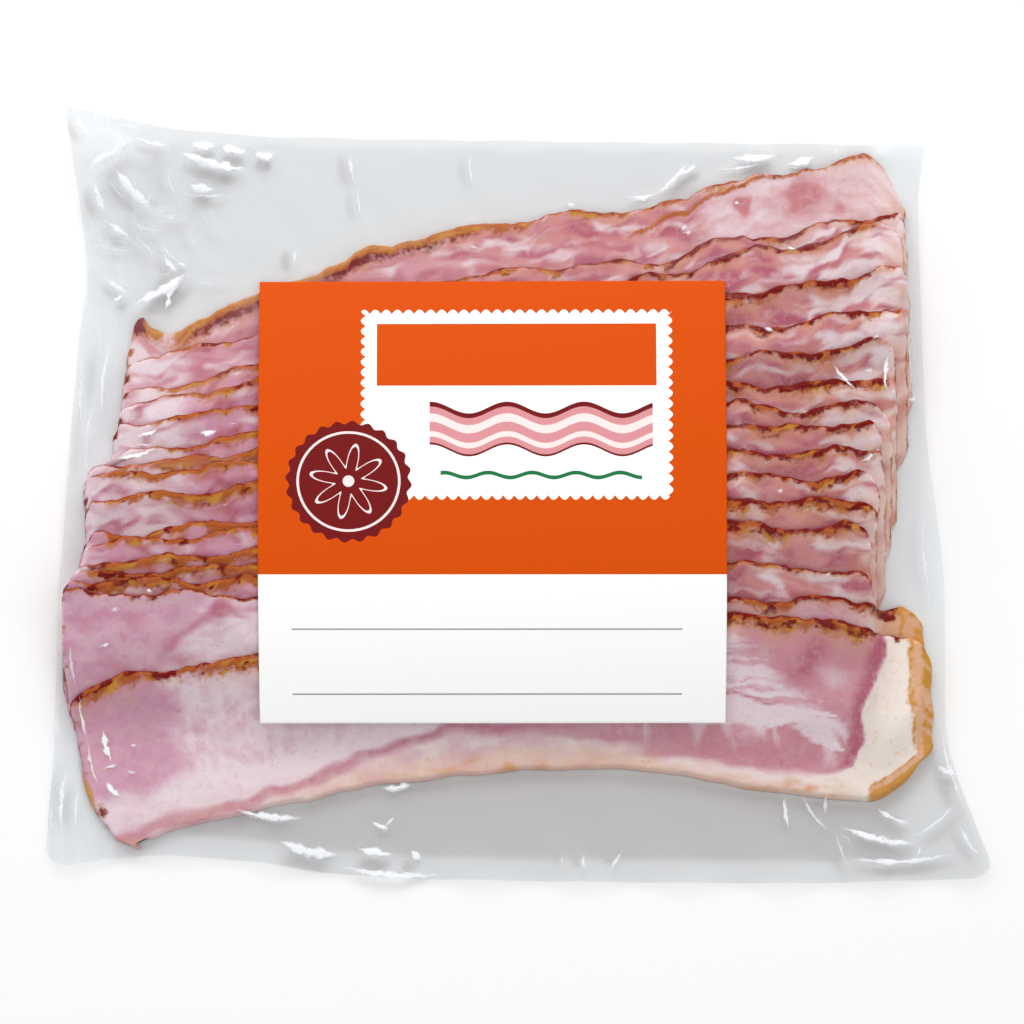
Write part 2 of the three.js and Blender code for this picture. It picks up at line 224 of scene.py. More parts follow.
# Creases drawn one by one: both ends, half width, height and whiteness, which also widens the white streak. The white
# streaks are painted highlights, which also stand for the film's whitening at a crease.
CREASES = np.array([
    # at the lifted corner
    (-124.6, 107.8, -119.8, 99.4, 1.2, 0.6, 0.9), (-122, 91.4, -108.6, 100, 1.6, 1.1, 1.7),
    (-114, 92.4, -102.3, 80.7, 1.4, 0.9, 1.4), (-119, 88.4, -115.4, 78.2, 1.2, 0.7, 1.0),
    (-115.8, 77.6, -108, 72.2, 1.2, 0.6, 0.9), (-109.3, 101.2, -97, 99.4, 1.0, 0.5, 0.9),
    (-96.8, 98.2, -74.8, 92.4, 1.4, 0.9, 1.7), (-92.6, 100.4, -84.5, 99.6, 1.0, 0.4, 1.5),
    (-84, 99.4, -76.2, 98, 1.1, 0.4, 1.7), (-74.5, 97.6, -68.6, 96.6, 1.2, 0.4, 1.7),
    (-93, 87.4, -85, 86.8, 1.2, 0.4, 1.5), (-95, 85.2, -79.5, 85.8, 1.0, 0.3, 0.5),
    # in the hollow behind the pile's left end
    (-109, 52.5, -92, 63.2, 1.5, 0.6, 1.6), (-94.2, 62.6, -98.8, 50.2, 1.3, 0.5, 1.3),
    (-99.5, 57, -95.8, 59.6, 1.0, 0.3, 1.0), (-100, 68, -94, 61.5, 1.0, 0.4, 0.8),
    # behind the label
    (-62.4, 70, -61.8, 61.5, 1.0, 0.4, 1.1), (-62, 61.8, -57, 64.6, 1.0, 0.3, 1.0),
    (-71.6, 62.6, -68.4, 61, 1.2, 0.3, 1.5), (-47.4, 98.6, -45, 87, 1.0, 0.5, 0.6),
    (-45, 88, -43, 76.8, 1.0, 0.4, 0.4), (-13.3, 98.6, -11.6, 86, 0.9, 0.4, 0.4),
    # behind the pile's right end
    (38, 84.5, 49, 95.5, 1.2, 0.7, 1.0), (60, 96.2, 74.5, 97.2, 1.4, 0.5, 1.6), (76, 93.8, 84.5, 96.2, 1.4, 0.5, 1.6),
    (55, 92.6, 70, 94.4, 0.8, 0.4, 0.6), (46, 91.4, 51, 94, 1.0, 0.3, 1.2), (30, 84.2, 40, 85.4, 1.0, 0.3, 0.9),
    # along the front margin
    (-65.5, -97.6, -47.5, -101.8, 1.9, 0.6, 1.9), (-44, -99.6, -33, -101.6, 1.4, 0.4, 1.3),
    (-29, -100.6, -26, -102.8, 1.4, 0.3, 1.5), (-50, -104.2, -18, -106.6, 1.0, 0.4, 1.1),
    (-78, -89, -57.5, -91.6, 1.0, 0.5, 1.2), (-37.5, -83.6, -28, -82.4, 0.8, 0.3, 1.0),
    (-40, -92.6, -34, -94.8, 1.0, 0.3, 0.9), (-36, -94, -33.6, -91.4, 0.9, 0.3, 0.8),
    (18.2, -101, 18.4, -106, 0.8, 0.3, 0.6), (28.6, -101, 25.6, -106.4, 0.8, 0.3, 0.7),
    (12.5, -101.5, 12.6, -105, 0.7, 0.3, 0.35),
    # at the right front corner
    (73, -85, 74.6, -96, 0.8, 0.5, 0.7), (77, -84.5, 86, -96.4, 0.8, 0.5, 0.55),
    (84.6, -84.6, 84.2, -91.5, 0.8, 0.4, 0.5), (87, -93.4, 110, -98.8, 1.4, 0.7, 1.3),
    (97, -88.5, 108, -93.6, 1.1, 0.5, 0.9), (106, -98, 121, -86, 1.2, 0.6, 0.5),
    (86.5, -94, 92, -108, 1.0, 0.6, 0.35), (88, -102.6, 122, -100.4, 1.0, 0.4, 0.8),
    (110, -99, 109, -103, 1.0, 0.5, 0.5), (116, -66, 124, -92, 1.3, 0.5, 0.6), (114, -77, 121, -80, 1.2, 0.4, 0.8),
    (120, -92, 127, -104, 1.0, 0.4, 0.5),
    # along the left margin
    (-121, 40, -119, 8, 1.6, 0.5, 0.3), (-117, 30, -118.5, -2, 1.3, 0.4, 0.3), (-113, 45, -115, 18, 1.4, 0.5, 0.5),
    (-116.8, 62, -108, 56, 1.0, 0.4, 0.7), (-114, 54, -110, 56, 1.0, 0.3, 0.9),
    (-123.5, -10, -125, -55, 1.5, 0.5, 0.25), (-122.4, -76, -123.6, -97, 1.2, 0.5, 0.7),
    (-119, -82, -119.8, -97, 1.0, 0.4, 0.5), (-126, -80, -126, -98, 1.2, 0.4, 0.4),
    # along the right margin
    (112, 60, 111.5, 20, 1.0, 0.3, 0.4), (113.5, 0, 116, -38, 1.0, 0.3, 0.35), (108, 24, 112, 26, 0.8, 0.3, 0.6),
    # painted highlights over the front rashers' left ends
    (-121.5, -44, -119.8, -58, 0.8, 0.3, 0.6), (-119.4, -58, -116.8, -72, 0.8, 0.4, 0.8),
    (-117.4, -70, -113.6, -84, 0.8, 0.3, 0.6), (-113.2, -67, -110.2, -77, 1.0, 0.3, 1.3),
    (-113, -78, -109, -77, 0.8, 0.3, 0.8), (-112.2, -81.5, -107.8, -86.4, 0.9, 0.3, 1.2),
    (-113.4, -45.8, -110.8, -45.2, 0.8, 0.2, 1.1),
    # painted highlights over the other rashers
    (-112.5, 6.5, -97.5, 10.5, 0.8, 0.4, 0.9), (86.5, 34.5, 95.5, 24.5, 0.8, 0.3, 0.8),
    (103.2, 37, 102.2, 25, 1.0, 0.3, 1.2), (93.5, 4, 100.5, 10, 0.8, 0.3, 0.7), (75.5, 68, 78.5, 67, 0.8, 0.2, 1.0),
    (-88, 14, -82.4, 15, 0.8, 0.2, 1.0), (-80.5, 16.6, -75.4, 17.3, 0.8, 0.2, 0.8),
    (-78.5, -7.4, -71.5, -6.2, 0.8, 0.2, 1.0), (-79, -18, -71, -16.9, 0.8, 0.2, 1.0),
    (-106, 13, -98.5, 15.6, 0.8, 0.2, 0.9),
])
STREWN_CREASES = 26
STREWN_GLINTS = 34
CREASE_LAYERS = 3
STREAK_WANDER = 1.3
VEIL_COLOUR = (0.92, 0.94, 0.97, 1.0)
FILM_ROUGHNESS = 0.12
FILM_MIRROR = 0.009
FILM_MIRROR_AT_SLANT = 0.9

LABEL_BOX = np.array(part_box("label")) / MM
LABEL_LEFT, LABEL_FRONT = LABEL_BOX[0, :2]
LABEL_RIGHT, LABEL_BACK = LABEL_BOX[1, :2]
LABEL_CREST_Y = -15.0
LABEL_CREST_Z = 16.4
LABEL_FRONT_DROP = 0.0033
LABEL_BACK_DROP = 0.0014
LABEL_SLOPE = 0.02
LABEL_TWIST = 0.0003
LABEL_TWIST_Y = -20.0
LABEL_GAP = 0.35
LABEL_HOLD_REACH = 1.5
LABEL_HOLD_FADE = 16.0
LABEL_CLEARANCE = 0.9
LABEL_RELEASE = 0.22
LABEL_CORNER_SLIPS = [(0.8, -0.5), (-0.5, -0.5), (-1.4, 0.8), (0.8, -0.5)]

# Spacing of the label's mesh lines, from a rim inwards and then even.
LABEL_RIM_LINES = np.array([0.0, 0.12, 0.6])
LABEL_STEP = 1.5

# Print on the label in mm from its front left corner. A box is left, right, low and high, a wave its length and
# height, and the bites of the panel's edge have a pitch along x and along y.
FIELD_FROM_Y = 39.6
PANEL_BOX = (28.1, 113.5, 60.3, 115.8)
PANEL_BITES = (3.05, 3.08)
PANEL_BITE_DEPTH = 1.3
BAR_BOX = (32.5, 109.1, 93.1, 111.5)
RULE_BOXES = [(9.1, 116.0, 24.6, 25.0), (9.1, 116.0, 7.4, 7.8)]
RULE_GREY = (0.32, 0.32, 0.33)
RIBBON_BOX = (47.0, 108.0, 64.0, 93.0)
RIBBON_Y = 80.5
RIBBON_WAVE = (21.0, 1.7)
RIBBON_PINK = (0.72, 0.30, 0.32)
PALE_PRINT = (0.93, 0.80, 0.78)
LEAF_BOX = (50.0, 105.0, 62.0, 73.0)
LEAF_Y = 67.3
LEAF_WAVE = (12.0, 0.7)
LEAF_HALF_WIDTH = 0.55
ROSETTE_X, ROSETTE_Y = 24.8, 65.6
ROSETTE_RADIUS = 16.8
ROSETTE_TEETH = 24
ROSETTE_TOOTH = 0.5
RING_RADIUS, RING_HALF_WIDTH = 13.9, 0.35
PETALS = 8
PETAL_RADIUS, PETAL_SWING, PETAL_HALF_WIDTH = 7.2, 3.2, 0.45
HEART_RADIUS = 1.6

# Lights: name, place, size in m, power in W.
LIGHTS = [
    ("softbox", (-0.2, 1.15, 0.75), (1.2, 0.8), 11.5),
    ("fill", (0.7, -0.5, 1.2), (1.5, 1.5), 5.0),
    ("strip_left", (-1.0, 0.1, 0.5), (0.08, 0.7), 1.6),
    ("strip_back", (0.25, 1.1, 0.65), (0.7, 0.06), 1.7),
]
SKY_STRENGTH = 0.545
FLOOR_HALF = 3.0
CAMERA_TARGET = (-1.35, -6.1, 0.0)
CAMERA_ELEVATION = math.radians(78.0)
CAMERA_DISTANCE = 1000.0
CAMERA_LENS = 126.5
CAMERA_SENSOR = 36.0


def linear(red, green, blue):
    """Scene colour of an 8-bit screen colour, by the sRGB curve."""
    share = np.array([red, green, blue]) / 255.0
    return tuple(np.where(share <= 0.04045, share / 12.92, ((share + 0.055) / 1.055) ** 2.4).tolist())


def smoothstep(low, high, value):
    """0 at low, 1 at high and 3t^2 - 2t^3 between them; low may be the larger of the two."""
    t = np.clip((value - low) / (high - low), 0.0, 1.0)
    return t * t * (3.0 - 2.0 * t)


def mix(start, end, share):
    """start where share is 0 and end where it is 1, along a straight line."""
    return start + (end - start) * share


def bump(value, centre, half_width):
    """1 at centre, 0 from half_width away from it, with a smooth flank on each side."""
    return smoothstep(half_width, 0.0, np.abs(value - centre))


def spot(x, y, centre_x, centre_y, reach_x, reach_y, turn=0.0):
    """Bell of height 1 over an ellipse that is turned by an angle: exp(-r^2) of the scaled distance."""
    along = (x - centre_x) * math.cos(turn) + (y - centre_y) * math.sin(turn)
    across = (y - centre_y) * math.cos(turn) - (x - centre_x) * math.sin(turn)
    return np.exp(-(along / reach_x) ** 2 - (across / reach_y) ** 2)


def spots(x, y, rows):
    """Sum of bells, each given by its spot and its strength."""
    return sum(strength * spot(x, y, *place) for *place, strength in rows)


def smooth_line(points):
    """Function through (position, value) points: cubic pieces whose slope at each point is the harmonic mean of the
    slopes on its two sides, or level where those differ in sign, so that it never overshoots."""
    knots, values = np.array(points, float).T
    slopes = np.diff(values) / np.diff(knots)
    before, after = np.r_[slopes[0], slopes], np.r_[slopes, slopes[-1]]
    same_way = before * after > 0
    tangents = np.where(same_way, 2 * before * after / np.where(same_way, before + after, 1.0), 0.0)

    def line(position):
        at = np.clip(position, knots[0], knots[-1])
        i = np.clip(np.searchsorted(knots, at) - 1, 0, len(slopes) - 1)
        width = knots[i + 1] - knots[i]
        t = (at - knots[i]) / width
        ease = t * t * (3 - 2 * t)
        return (
            mix(values[i], values[i + 1], ease)
            + width * t * (1 - t) * ((1 - t) * tangents[i] - t * tangents[i + 1])
        )

    return line


def noise(x, y, seed):
    """Gradient noise of about -1 to 1: at each point of a unit lattice a plane slopes in a random direction, and the
    planes of the four nearest points fade into each other."""
    turns = np.random.default_rng(seed).uniform(0, 2 * np.pi, (64, 64))
    x, y = np.broadcast_arrays(np.asarray(x, float), np.asarray(y, float))
    column, row = np.floor(x).astype(int), np.floor(y).astype(int)
    right, up = x - column, y - row

    def plane(i, j):
        turn = turns[(row + j) % 64, (column + i) % 64]
        return np.cos(turn) * (right - i) + np.sin(turn) * (up - j)

    fade_x, fade_y = (t ** 3 * (t * (6 * t - 15) + 10) for t in (right, up))
    low = mix(plane(0, 0), plane(1, 0), fade_x)
    high = mix(plane(0, 1), plane(1, 1), fade_x)
    return 1.6 * mix(low, high, fade_y)


def rough_noise(x, y, seed, octaves=3):
    """Sum of noises, each twice as fine and half as high as the one before."""
    return sum(noise(x * 2 ** i, y * 2 ** i, seed + i) / 2 ** i for i in range(octaves))


left_edge, right_edge = smooth_line(LEFT_EDGE), smooth_line(RIGHT_EDGE)
front_edge, back_edge = smooth_line(FRONT_EDGE), smooth_line(BACK_EDGE)
rear_rasher_edge = smooth_line(REAR_RASHER_EDGE)
first_rasher_edge, first_rasher_front = smooth_line(FIRST_RASHER_EDGE), smooth_line(FIRST_RASHER_FRONT)
pile_left, right_ends = smooth_line(PILE_LEFT), smooth_line(RIGHT_ENDS)
deep_line, tongue_line = smooth_line(DEEP_LINE), smooth_line(TONGUE_LINE)
cream_width, block_side = smooth_line(CREAM_WIDTH), smooth_line(BLOCK_SIDE)
rear_crust_inset = smooth_line(REAR_CRUST_INSET)
end_shifts = np.random.default_rng(5).uniform(-END_SHIFT, END_SHIFT, (2, LAST + 1))


def across_pile(x):
    """0 at the left place where the rashers' edges are given, 1 at the right one."""
    return (x - EDGE_LEFT_X) / (EDGE_RIGHT_X - EDGE_LEFT_X)


def rasher_edge(k, x):
    """y of rasher k's back edge: the front one's own line, or a straight line that is bent towards the rear rasher's
    curve by the square of k, swells near the middle of the pile and has a long wave; with a small ripple and fine
    nicks."""
    ripple = EDGE_RIPPLE_HEIGHT * noise(x / EDGE_RIPPLE_LENGTH, 7.3 * k + 0.5, 31)
    nicks = EDGE_NICK_HEIGHT * noise(x / EDGE_NICK_LENGTH, 5.9 * k + 0.5, 35)
    if k == 0:
        return first_rasher_edge(x) + 0.5 * ripple + nicks
    straight = mix(*RASHER_EDGES[k - 1], across_pile(x))
    along = x if k == LAST else np.clip(x, BENT_FROM, BENT_TO)
    bend = (rear_rasher_edge(along) - mix(*RASHER_EDGES[-1], across_pile(along))) * (k / LAST) ** 2
    swell = EDGE_SWELL * smoothstep(80, 55, x) * smoothstep(-20, 40, x) * smoothstep(1, 2, k) * smoothstep(11, 8, k)
    wave = EDGE_WAVE_HEIGHT * np.sin(2 * np.pi * x / EDGE_WAVE_LENGTH + EDGE_WAVE_STEP * k)
    return straight + bend + swell + wave + ripple + nicks


def rasher_front(k, x):
    """y of rasher k's front edge: drawn for the first one, and for those under it a rasher's width from the back edge,
    but never ahead of the pile's front."""
    first = first_rasher_front(x) + 0.6 * noise(x / 9, 0.5, 32)
    if k == 0:
        return first
    width = mix(RASHER_WIDTH_LEFT, RASHER_WIDTH_RIGHT, np.clip(across_pile(x), 0, 1))
    return np.maximum(rasher_edge(k, x) - width, first + min(FRONT_STEP_BACK * k, FRONT_STEP_LIMIT))


def rasher_left(k, y):
    """x of rasher k's left end: the pile's left side, shifted a little and wavy, but inside the film."""
    end = pile_left(y) + end_shifts[0, k] * (k > 1) + 0.7 * noise(y / 6, 3.7 * k, 33)
    return np.maximum(end, left_edge(y) + PILE_TO_FILM)


def rasher_right(k, y):
    """x of rasher k's right end: drawn for each, and but for the two on top shifted a little; wavy."""
    return right_ends(k) + end_shifts[1, k] * (1 < k < LAST) + 0.7 * noise(y / 6, 5.1 * k, 34)


def rounded_depth(back, end, radius):
    """Distance in from a back edge and an end, below 0 outside: the lesser of the two, and in their corner the radius
    less the distance from the corner's centre."""
    corner = radius - np.hypot(np.maximum(radius - back, 0), np.maximum(radius - end, 0))
    return np.minimum(np.minimum(back, end), corner)


def rasher_depth(k, x, y):
    """Distance in from rasher k's back edge and both its ends, with rounded corners; below 0 outside."""
    back = rasher_edge(k, x) - y
    return np.minimum(
        rounded_depth(back, x - rasher_left(k, y), LEFT_CORNER_RADIUS),
        rounded_depth(back, rasher_right(k, y) - x, RIGHT_CORNER_RADIUS),
    )


def rim_profile(depth):
    """Quarter circle: 0 on the rim, 1 from the rim's rounding inwards."""
    return np.sqrt(1 - (1 - np.clip(depth / RIM_ROUNDING, 0, 1)) ** 2)


def rasher_thickness(x):
    """Thickness of every rasher, growing from the left to the right."""
    sizes = bpy.context.scene.bacon_pack_sizes
    return mix(sizes.rasher_left, sizes.rasher_right, np.clip(across_pile(x), 0, 1)) / MM


def pile_height(x, y, first=0):
    """Height of the rashers from number first down to the rear one: the sum of each one's thickness where it lies,
    rounded at its rim and thinned towards its hidden front."""
    slope = [RIM_ROUNDING] + [HIDDEN_EDGE_SLOPE] * LAST
    cover = sum(
        rim_profile(rasher_depth(k, x, y)) * smoothstep(0, slope[k], y - rasher_front(k, x))
        for k in range(first, LAST + 1)
    )
    return rasher_thickness(x) * cover


def label_height(x, y):
    """Height of the label's underside: a crest that falls off to the front and to the back by the square of the
    distance, tilted across and slightly twisted."""
    drop = np.where(y < LABEL_CREST_Y, LABEL_FRONT_DROP, LABEL_BACK_DROP)
    slope = LABEL_SLOPE + LABEL_TWIST * (y - LABEL_TWIST_Y)
    return LABEL_CREST_Z - drop * (y - LABEL_CREST_Y) ** 2 + slope * (x - LABEL_RIGHT)


def past_label(x, y):
    """Distance outside the label's outline, 0 under it."""
    beside = np.maximum(np.maximum(LABEL_LEFT - x, x - LABEL_RIGHT), 0)
    before = np.maximum(np.maximum(LABEL_FRONT - y, y - LABEL_BACK), 0)
    return np.hypot(beside, before)


def under_label(x, y):
    """1 under the label and a little past it, fading to 0 outside."""
    return smoothstep(LABEL_HOLD_FADE, LABEL_HOLD_REACH, past_label(x, y))


def squeeze(x, y):
    """Share of the pile's free height that is left where the label presses it flat; the pressed surface rises at an
    even slope outside the label."""
    ceiling = label_height(x, y) - LABEL_CLEARANCE + LABEL_RELEASE * past_label(x, y)
    return np.minimum(1, ceiling / np.maximum(PILE_BASE + pile_height(x, y), 0.1))


def patch(line_x0, line_x1, line_y0, line_y1, columns, rows):
    """Grid of points whose four sides are lines: x runs between two functions of y, y between two functions of x.
    A few rounds of placing each in turn settle both."""
    across, up = np.meshgrid(columns, rows)
    x, y = mix(line_x0(0.0), line_x1(0.0), across), np.zeros_like(up)
    for _ in range(6):
        y = mix(line_y0(x), line_y1(x), up)
        x = mix(line_x0(y), line_x1(y), across)
    return x, y


def round_corner(x, y, side_gap, end_gap, side, end, radius):
    """Draws a square corner in to an arc: the square of the radius before it is mapped to a disc, so that its two
    outer sides become the arc. side and end are 1 or -1, the way out of the corner along x and y."""
    a, b = np.clip(1 - side_gap / radius, 0, 1), np.clip(1 - end_gap / radius, 0, 1)
    return (
        x - side * radius * a * (1 - np.sqrt(1 - b * b / 2)),
        y - end * radius * b * (1 - np.sqrt(1 - a * a / 2)),
    )


def rim_spaced(length, step):
    """Positions from 0 to 1 along a length: fine lines inside both rims and even steps between them."""
    inner = np.arange(RIM_LINES[-1] + step, length - RIM_LINES[-1] - step / 2, step)
    return np.r_[RIM_LINES, inner, length - RIM_LINES[::-1]] / length


def row_spaced(width, fine_width):
    """Positions from 0 at the front to 1 at the back edge of a rasher: coarse steps, then fine ones for fine_width,
    with fine lines inside both rims."""
    start = RIM_LINES[-1]
    turn = max(width - fine_width, start)
    coarse = np.arange(start + COARSE_ROW_STEP, turn, COARSE_ROW_STEP)
    fine = np.arange(turn + FINE_ROW_STEP, width - start - FINE_ROW_STEP / 2, FINE_ROW_STEP)
    return np.r_[RIM_LINES, coarse, fine, width - RIM_LINES[::-1]] / width


def envelope_faces(rows, columns):
    """Quads of two grids that share their rim: the top one in the order of its points, the bottom one facing down with
    its inner points numbered after the top's."""
    top = np.arange(rows * columns).reshape(rows, columns)
    bottom = top.copy()
    bottom[1:-1, 1:-1] = rows * columns + np.arange((rows - 2) * (columns - 2)).reshape(rows - 2, columns - 2)

    def quads(grid):
        corners = (grid[:-1, :-1], grid[:-1, 1:], grid[1:, 1:], grid[1:, :-1])
        return np.stack([corner.ravel() for corner in corners], axis=1)

    return np.vstack([quads(top), quads(bottom)[:, ::-1]])


def both_sheets(values):
    """Values on a grid, in the order of envelope_faces' points: the whole grid, then its inner part once more."""
    return np.concatenate([values.ravel(), values[1:-1, 1:-1].ravel()])


def add_envelope(name, x, y, top, bottom, material, attributes=(), uv=None, crisp=False):
    """Object at the origin, smooth-shaded: a closed piece between two heights over one grid of x and y in mm. The rim
    has the top's height and a sharp edge if crisp. attributes are (name, grid) pairs and uv a pair of grids."""
    points = np.stack(
        [both_sheets(x), both_sheets(y), np.concatenate([top.ravel(), bottom[1:-1, 1:-1].ravel()])], axis=1
    )
    faces = envelope_faces(*x.shape)
    mesh = bpy.data.meshes.new(name)
    mesh.vertices.add(len(points))
    mesh.vertices.foreach_set("co", (points * MM).astype(np.float32).ravel())
    mesh.loops.add(faces.size)
    mesh.loops.foreach_set("vertex_index", faces.astype(np.int32).ravel())
    mesh.polygons.add(len(faces))
    mesh.polygons.foreach_set("loop_start", np.arange(0, faces.size, 4, dtype=np.int32))
    mesh.polygons.foreach_set("use_smooth", np.ones(len(faces), dtype=bool))
    mesh.update(calc_edges=True)
    if crisp:
        rim = np.zeros(x.shape, dtype=bool)
        rim[[0, -1], :] = rim[:, [0, -1]] = True
        ends = np.zeros(2 * len(mesh.edges), dtype=np.int32)
        mesh.edges.foreach_get("vertices", ends)
        sharp = np.r_[rim.ravel(), np.zeros(len(points) - x.size, dtype=bool)][ends].reshape(-1, 2).all(axis=1)
        mesh.attributes.new("sharp_edge", "BOOLEAN", "EDGE").data.foreach_set("value", sharp)
    for title, values in attributes:
        layer = mesh.attributes.new(title, "FLOAT", "POINT")
        layer.data.foreach_set("value", both_sheets(values).astype(np.float32))
    if uv is not None:
        plan = np.stack([both_sheets(uv[0]), both_sheets(uv[1])], axis=1)[faces.ravel()]
        mesh.uv_layers.new(name="plan").data.foreach_set("uv", plan.astype(np.float32).ravel())
    mesh.materials.append(material)
    piece = bpy.data.objects.new(name, mesh)
    bpy.context.scene.collection.objects.link(piece)
    return piece


class Nodes:
    """The node tree of one material, with short calls for the nodes that the finishes need."""

    def __init__(self, name):
        self.material = bpy.data.materials.new(name)
        self.material.use_nodes = True
        self.tree = self.material.node_tree
        self.tree.nodes.clear()

    def add(self, kind, inputs=(), **settings):
        """A node of a kind with its settings; inputs are (socket, value) pairs, a value being a number or a socket."""
        node = self.tree.nodes.new(kind)
        for name, value in settings.items():
            setattr(node, name, value)
        for socket, value in inputs:
            if isinstance(value, bpy.types.NodeSocket):
                self.tree.links.new(value, node.inputs[socket])
            else:
                node.inputs[socket].default_value = value
        return node

    def place(self):
        """Object coordinates."""
        return self.add("ShaderNodeTexCoord").outputs["Object"]

    def attribute(self, name):
        """The number that a point carries under a name."""
        return self.add("ShaderNodeAttribute", attribute_name=name).outputs["Fac"]

    def math(self, operation, first, second=0.0, third=0.0, clamp=False):
        """One sum of two or three numbers."""
        node = self.add("ShaderNodeMath", [(0, first), (1, second), (2, third)], operation=operation, use_clamp=clamp)
        return node.outputs[0]

    def step(self, value, low, high, start=0.0, end=1.0):
        """start up to low, end from high on, and a smooth passage between them."""
        node = self.add(
            "ShaderNodeMapRange",
            [("Value", value), ("From Min", low), ("From Max", high), ("To Min", start), ("To Max", end)],
            interpolation_type="SMOOTHSTEP",
        )
        return node.outputs[0]

    def noise(self, place, size, detail=2.0, roughness=0.5, distortion=0.0):
        """Noise from 0 to 1 whose grains are about size mm across."""
        node = self.add(
            "ShaderNodeTexNoise",
            [("Vector", place), ("Scale", 1 / (size * MM)), ("Detail", detail), ("Roughness", roughness),
             ("Distortion", distortion)],
        )
        return node.outputs["Fac"]

    def blend(self, share, first, second):
        """Colour first where share is 0, second where it is 1."""
        node = self.add("ShaderNodeMix", data_type="RGBA")
        for index, value in ((0, share), (6, first), (7, second)):
            if isinstance(value, bpy.types.NodeSocket):
                self.tree.links.new(value, node.inputs[index])
            else:
                node.inputs[index].default_value = (*value, 1.0)[:4] if index else value
        return node.outputs[2]

    def relief(self, height, distance, strength=1.0):
        """Normal that is tilted by a height of up to distance mm."""
        node = self.add("ShaderNodeBump", [("Strength", strength), ("Distance", distance * MM), ("Height", height)])
        return node.outputs[0]

    def finish(self, shader):
        """Puts the shader on the surface and returns the material."""
        output = self.add("ShaderNodeOutputMaterial")
        self.tree.links.new(shader, output.inputs["Surface"])
        return self.material


def colour_property(name, description, *screen):
    """A colour that the user can change, from an 8-bit screen colour."""
    return FloatVectorProperty(
        name=name, description=description, subtype="COLOR", size=3, min=0.0, max=1.0, default=linear(*screen)
    )


class BaconPackSizes(bpy.types.PropertyGroup):
    """Sizes of the pack that a user would change."""

    rasher_left: FloatProperty(
        name="Rasher left", description="Thickness of a rasher near its left end", default=0.0020, unit="LENGTH"
    )
    rasher_right: FloatProperty(
        name="Rasher right", description="Thickness of a rasher near its right end", default=0.0029, unit="LENGTH"
    )
    film_gap: FloatProperty(
        name="Film gap", description="Space between the rashers and the film on them", default=0.00025, unit="LENGTH"
    )
    paper: FloatProperty(
        name="Paper", description="Thickness of the label's paper", default=0.0003, unit="LENGTH"
    )


class BaconPackColours(bpy.types.PropertyGroup):
    """Colours of the pack that a user would change."""

    lean: colour_property("Lean", "Pale lean meat", 218, 157, 182)
    warm_lean: colour_property("Warm lean", "Lean meat with a salmon cast", 220, 148, 146)
    deep_lean: colour_property("Deep lean", "Darker, redder lean meat", 190, 98, 120)
    fat: colour_property("Fat", "White fat with a pink cast", 245, 224, 231)
    cream: colour_property("Cream fat", "Firm cream fat beside the rind", 250, 235, 224)
    stain: colour_property("Stain", "Tan meat beside the crust and in the rind", 226, 168, 124)
    crust: colour_property("Crust", "Amber smoked crust", 186, 92, 34)
    gold: colour_property("Golden crust", "Lightest, yellow crust", 214, 150, 56)
    char: colour_property("Dark crust", "Darkest red-brown crust", 124, 6, 0)
    film: colour_property("Film", "What one layer of film lets through", 252, 254, 255)
    # Tint of the film where painted shade lies on it.
    painted_shade_film: colour_property("Grey film", "What a layer of shaded film lets through", 238, 237, 237)
    label: colour_property("Label", "Main field of the label", 217, 80, 2)
    paper: colour_property("Paper", "Bare paper of the label", 255, 255, 255)
    seal: colour_property("Seal", "Round rosette on the label", 118, 24, 26)
    leaf: colour_property("Leaf line", "Wavy line on the label's panel", 30, 120, 70)
    floor: colour_property("Floor", "Studio floor", 250, 250, 250)


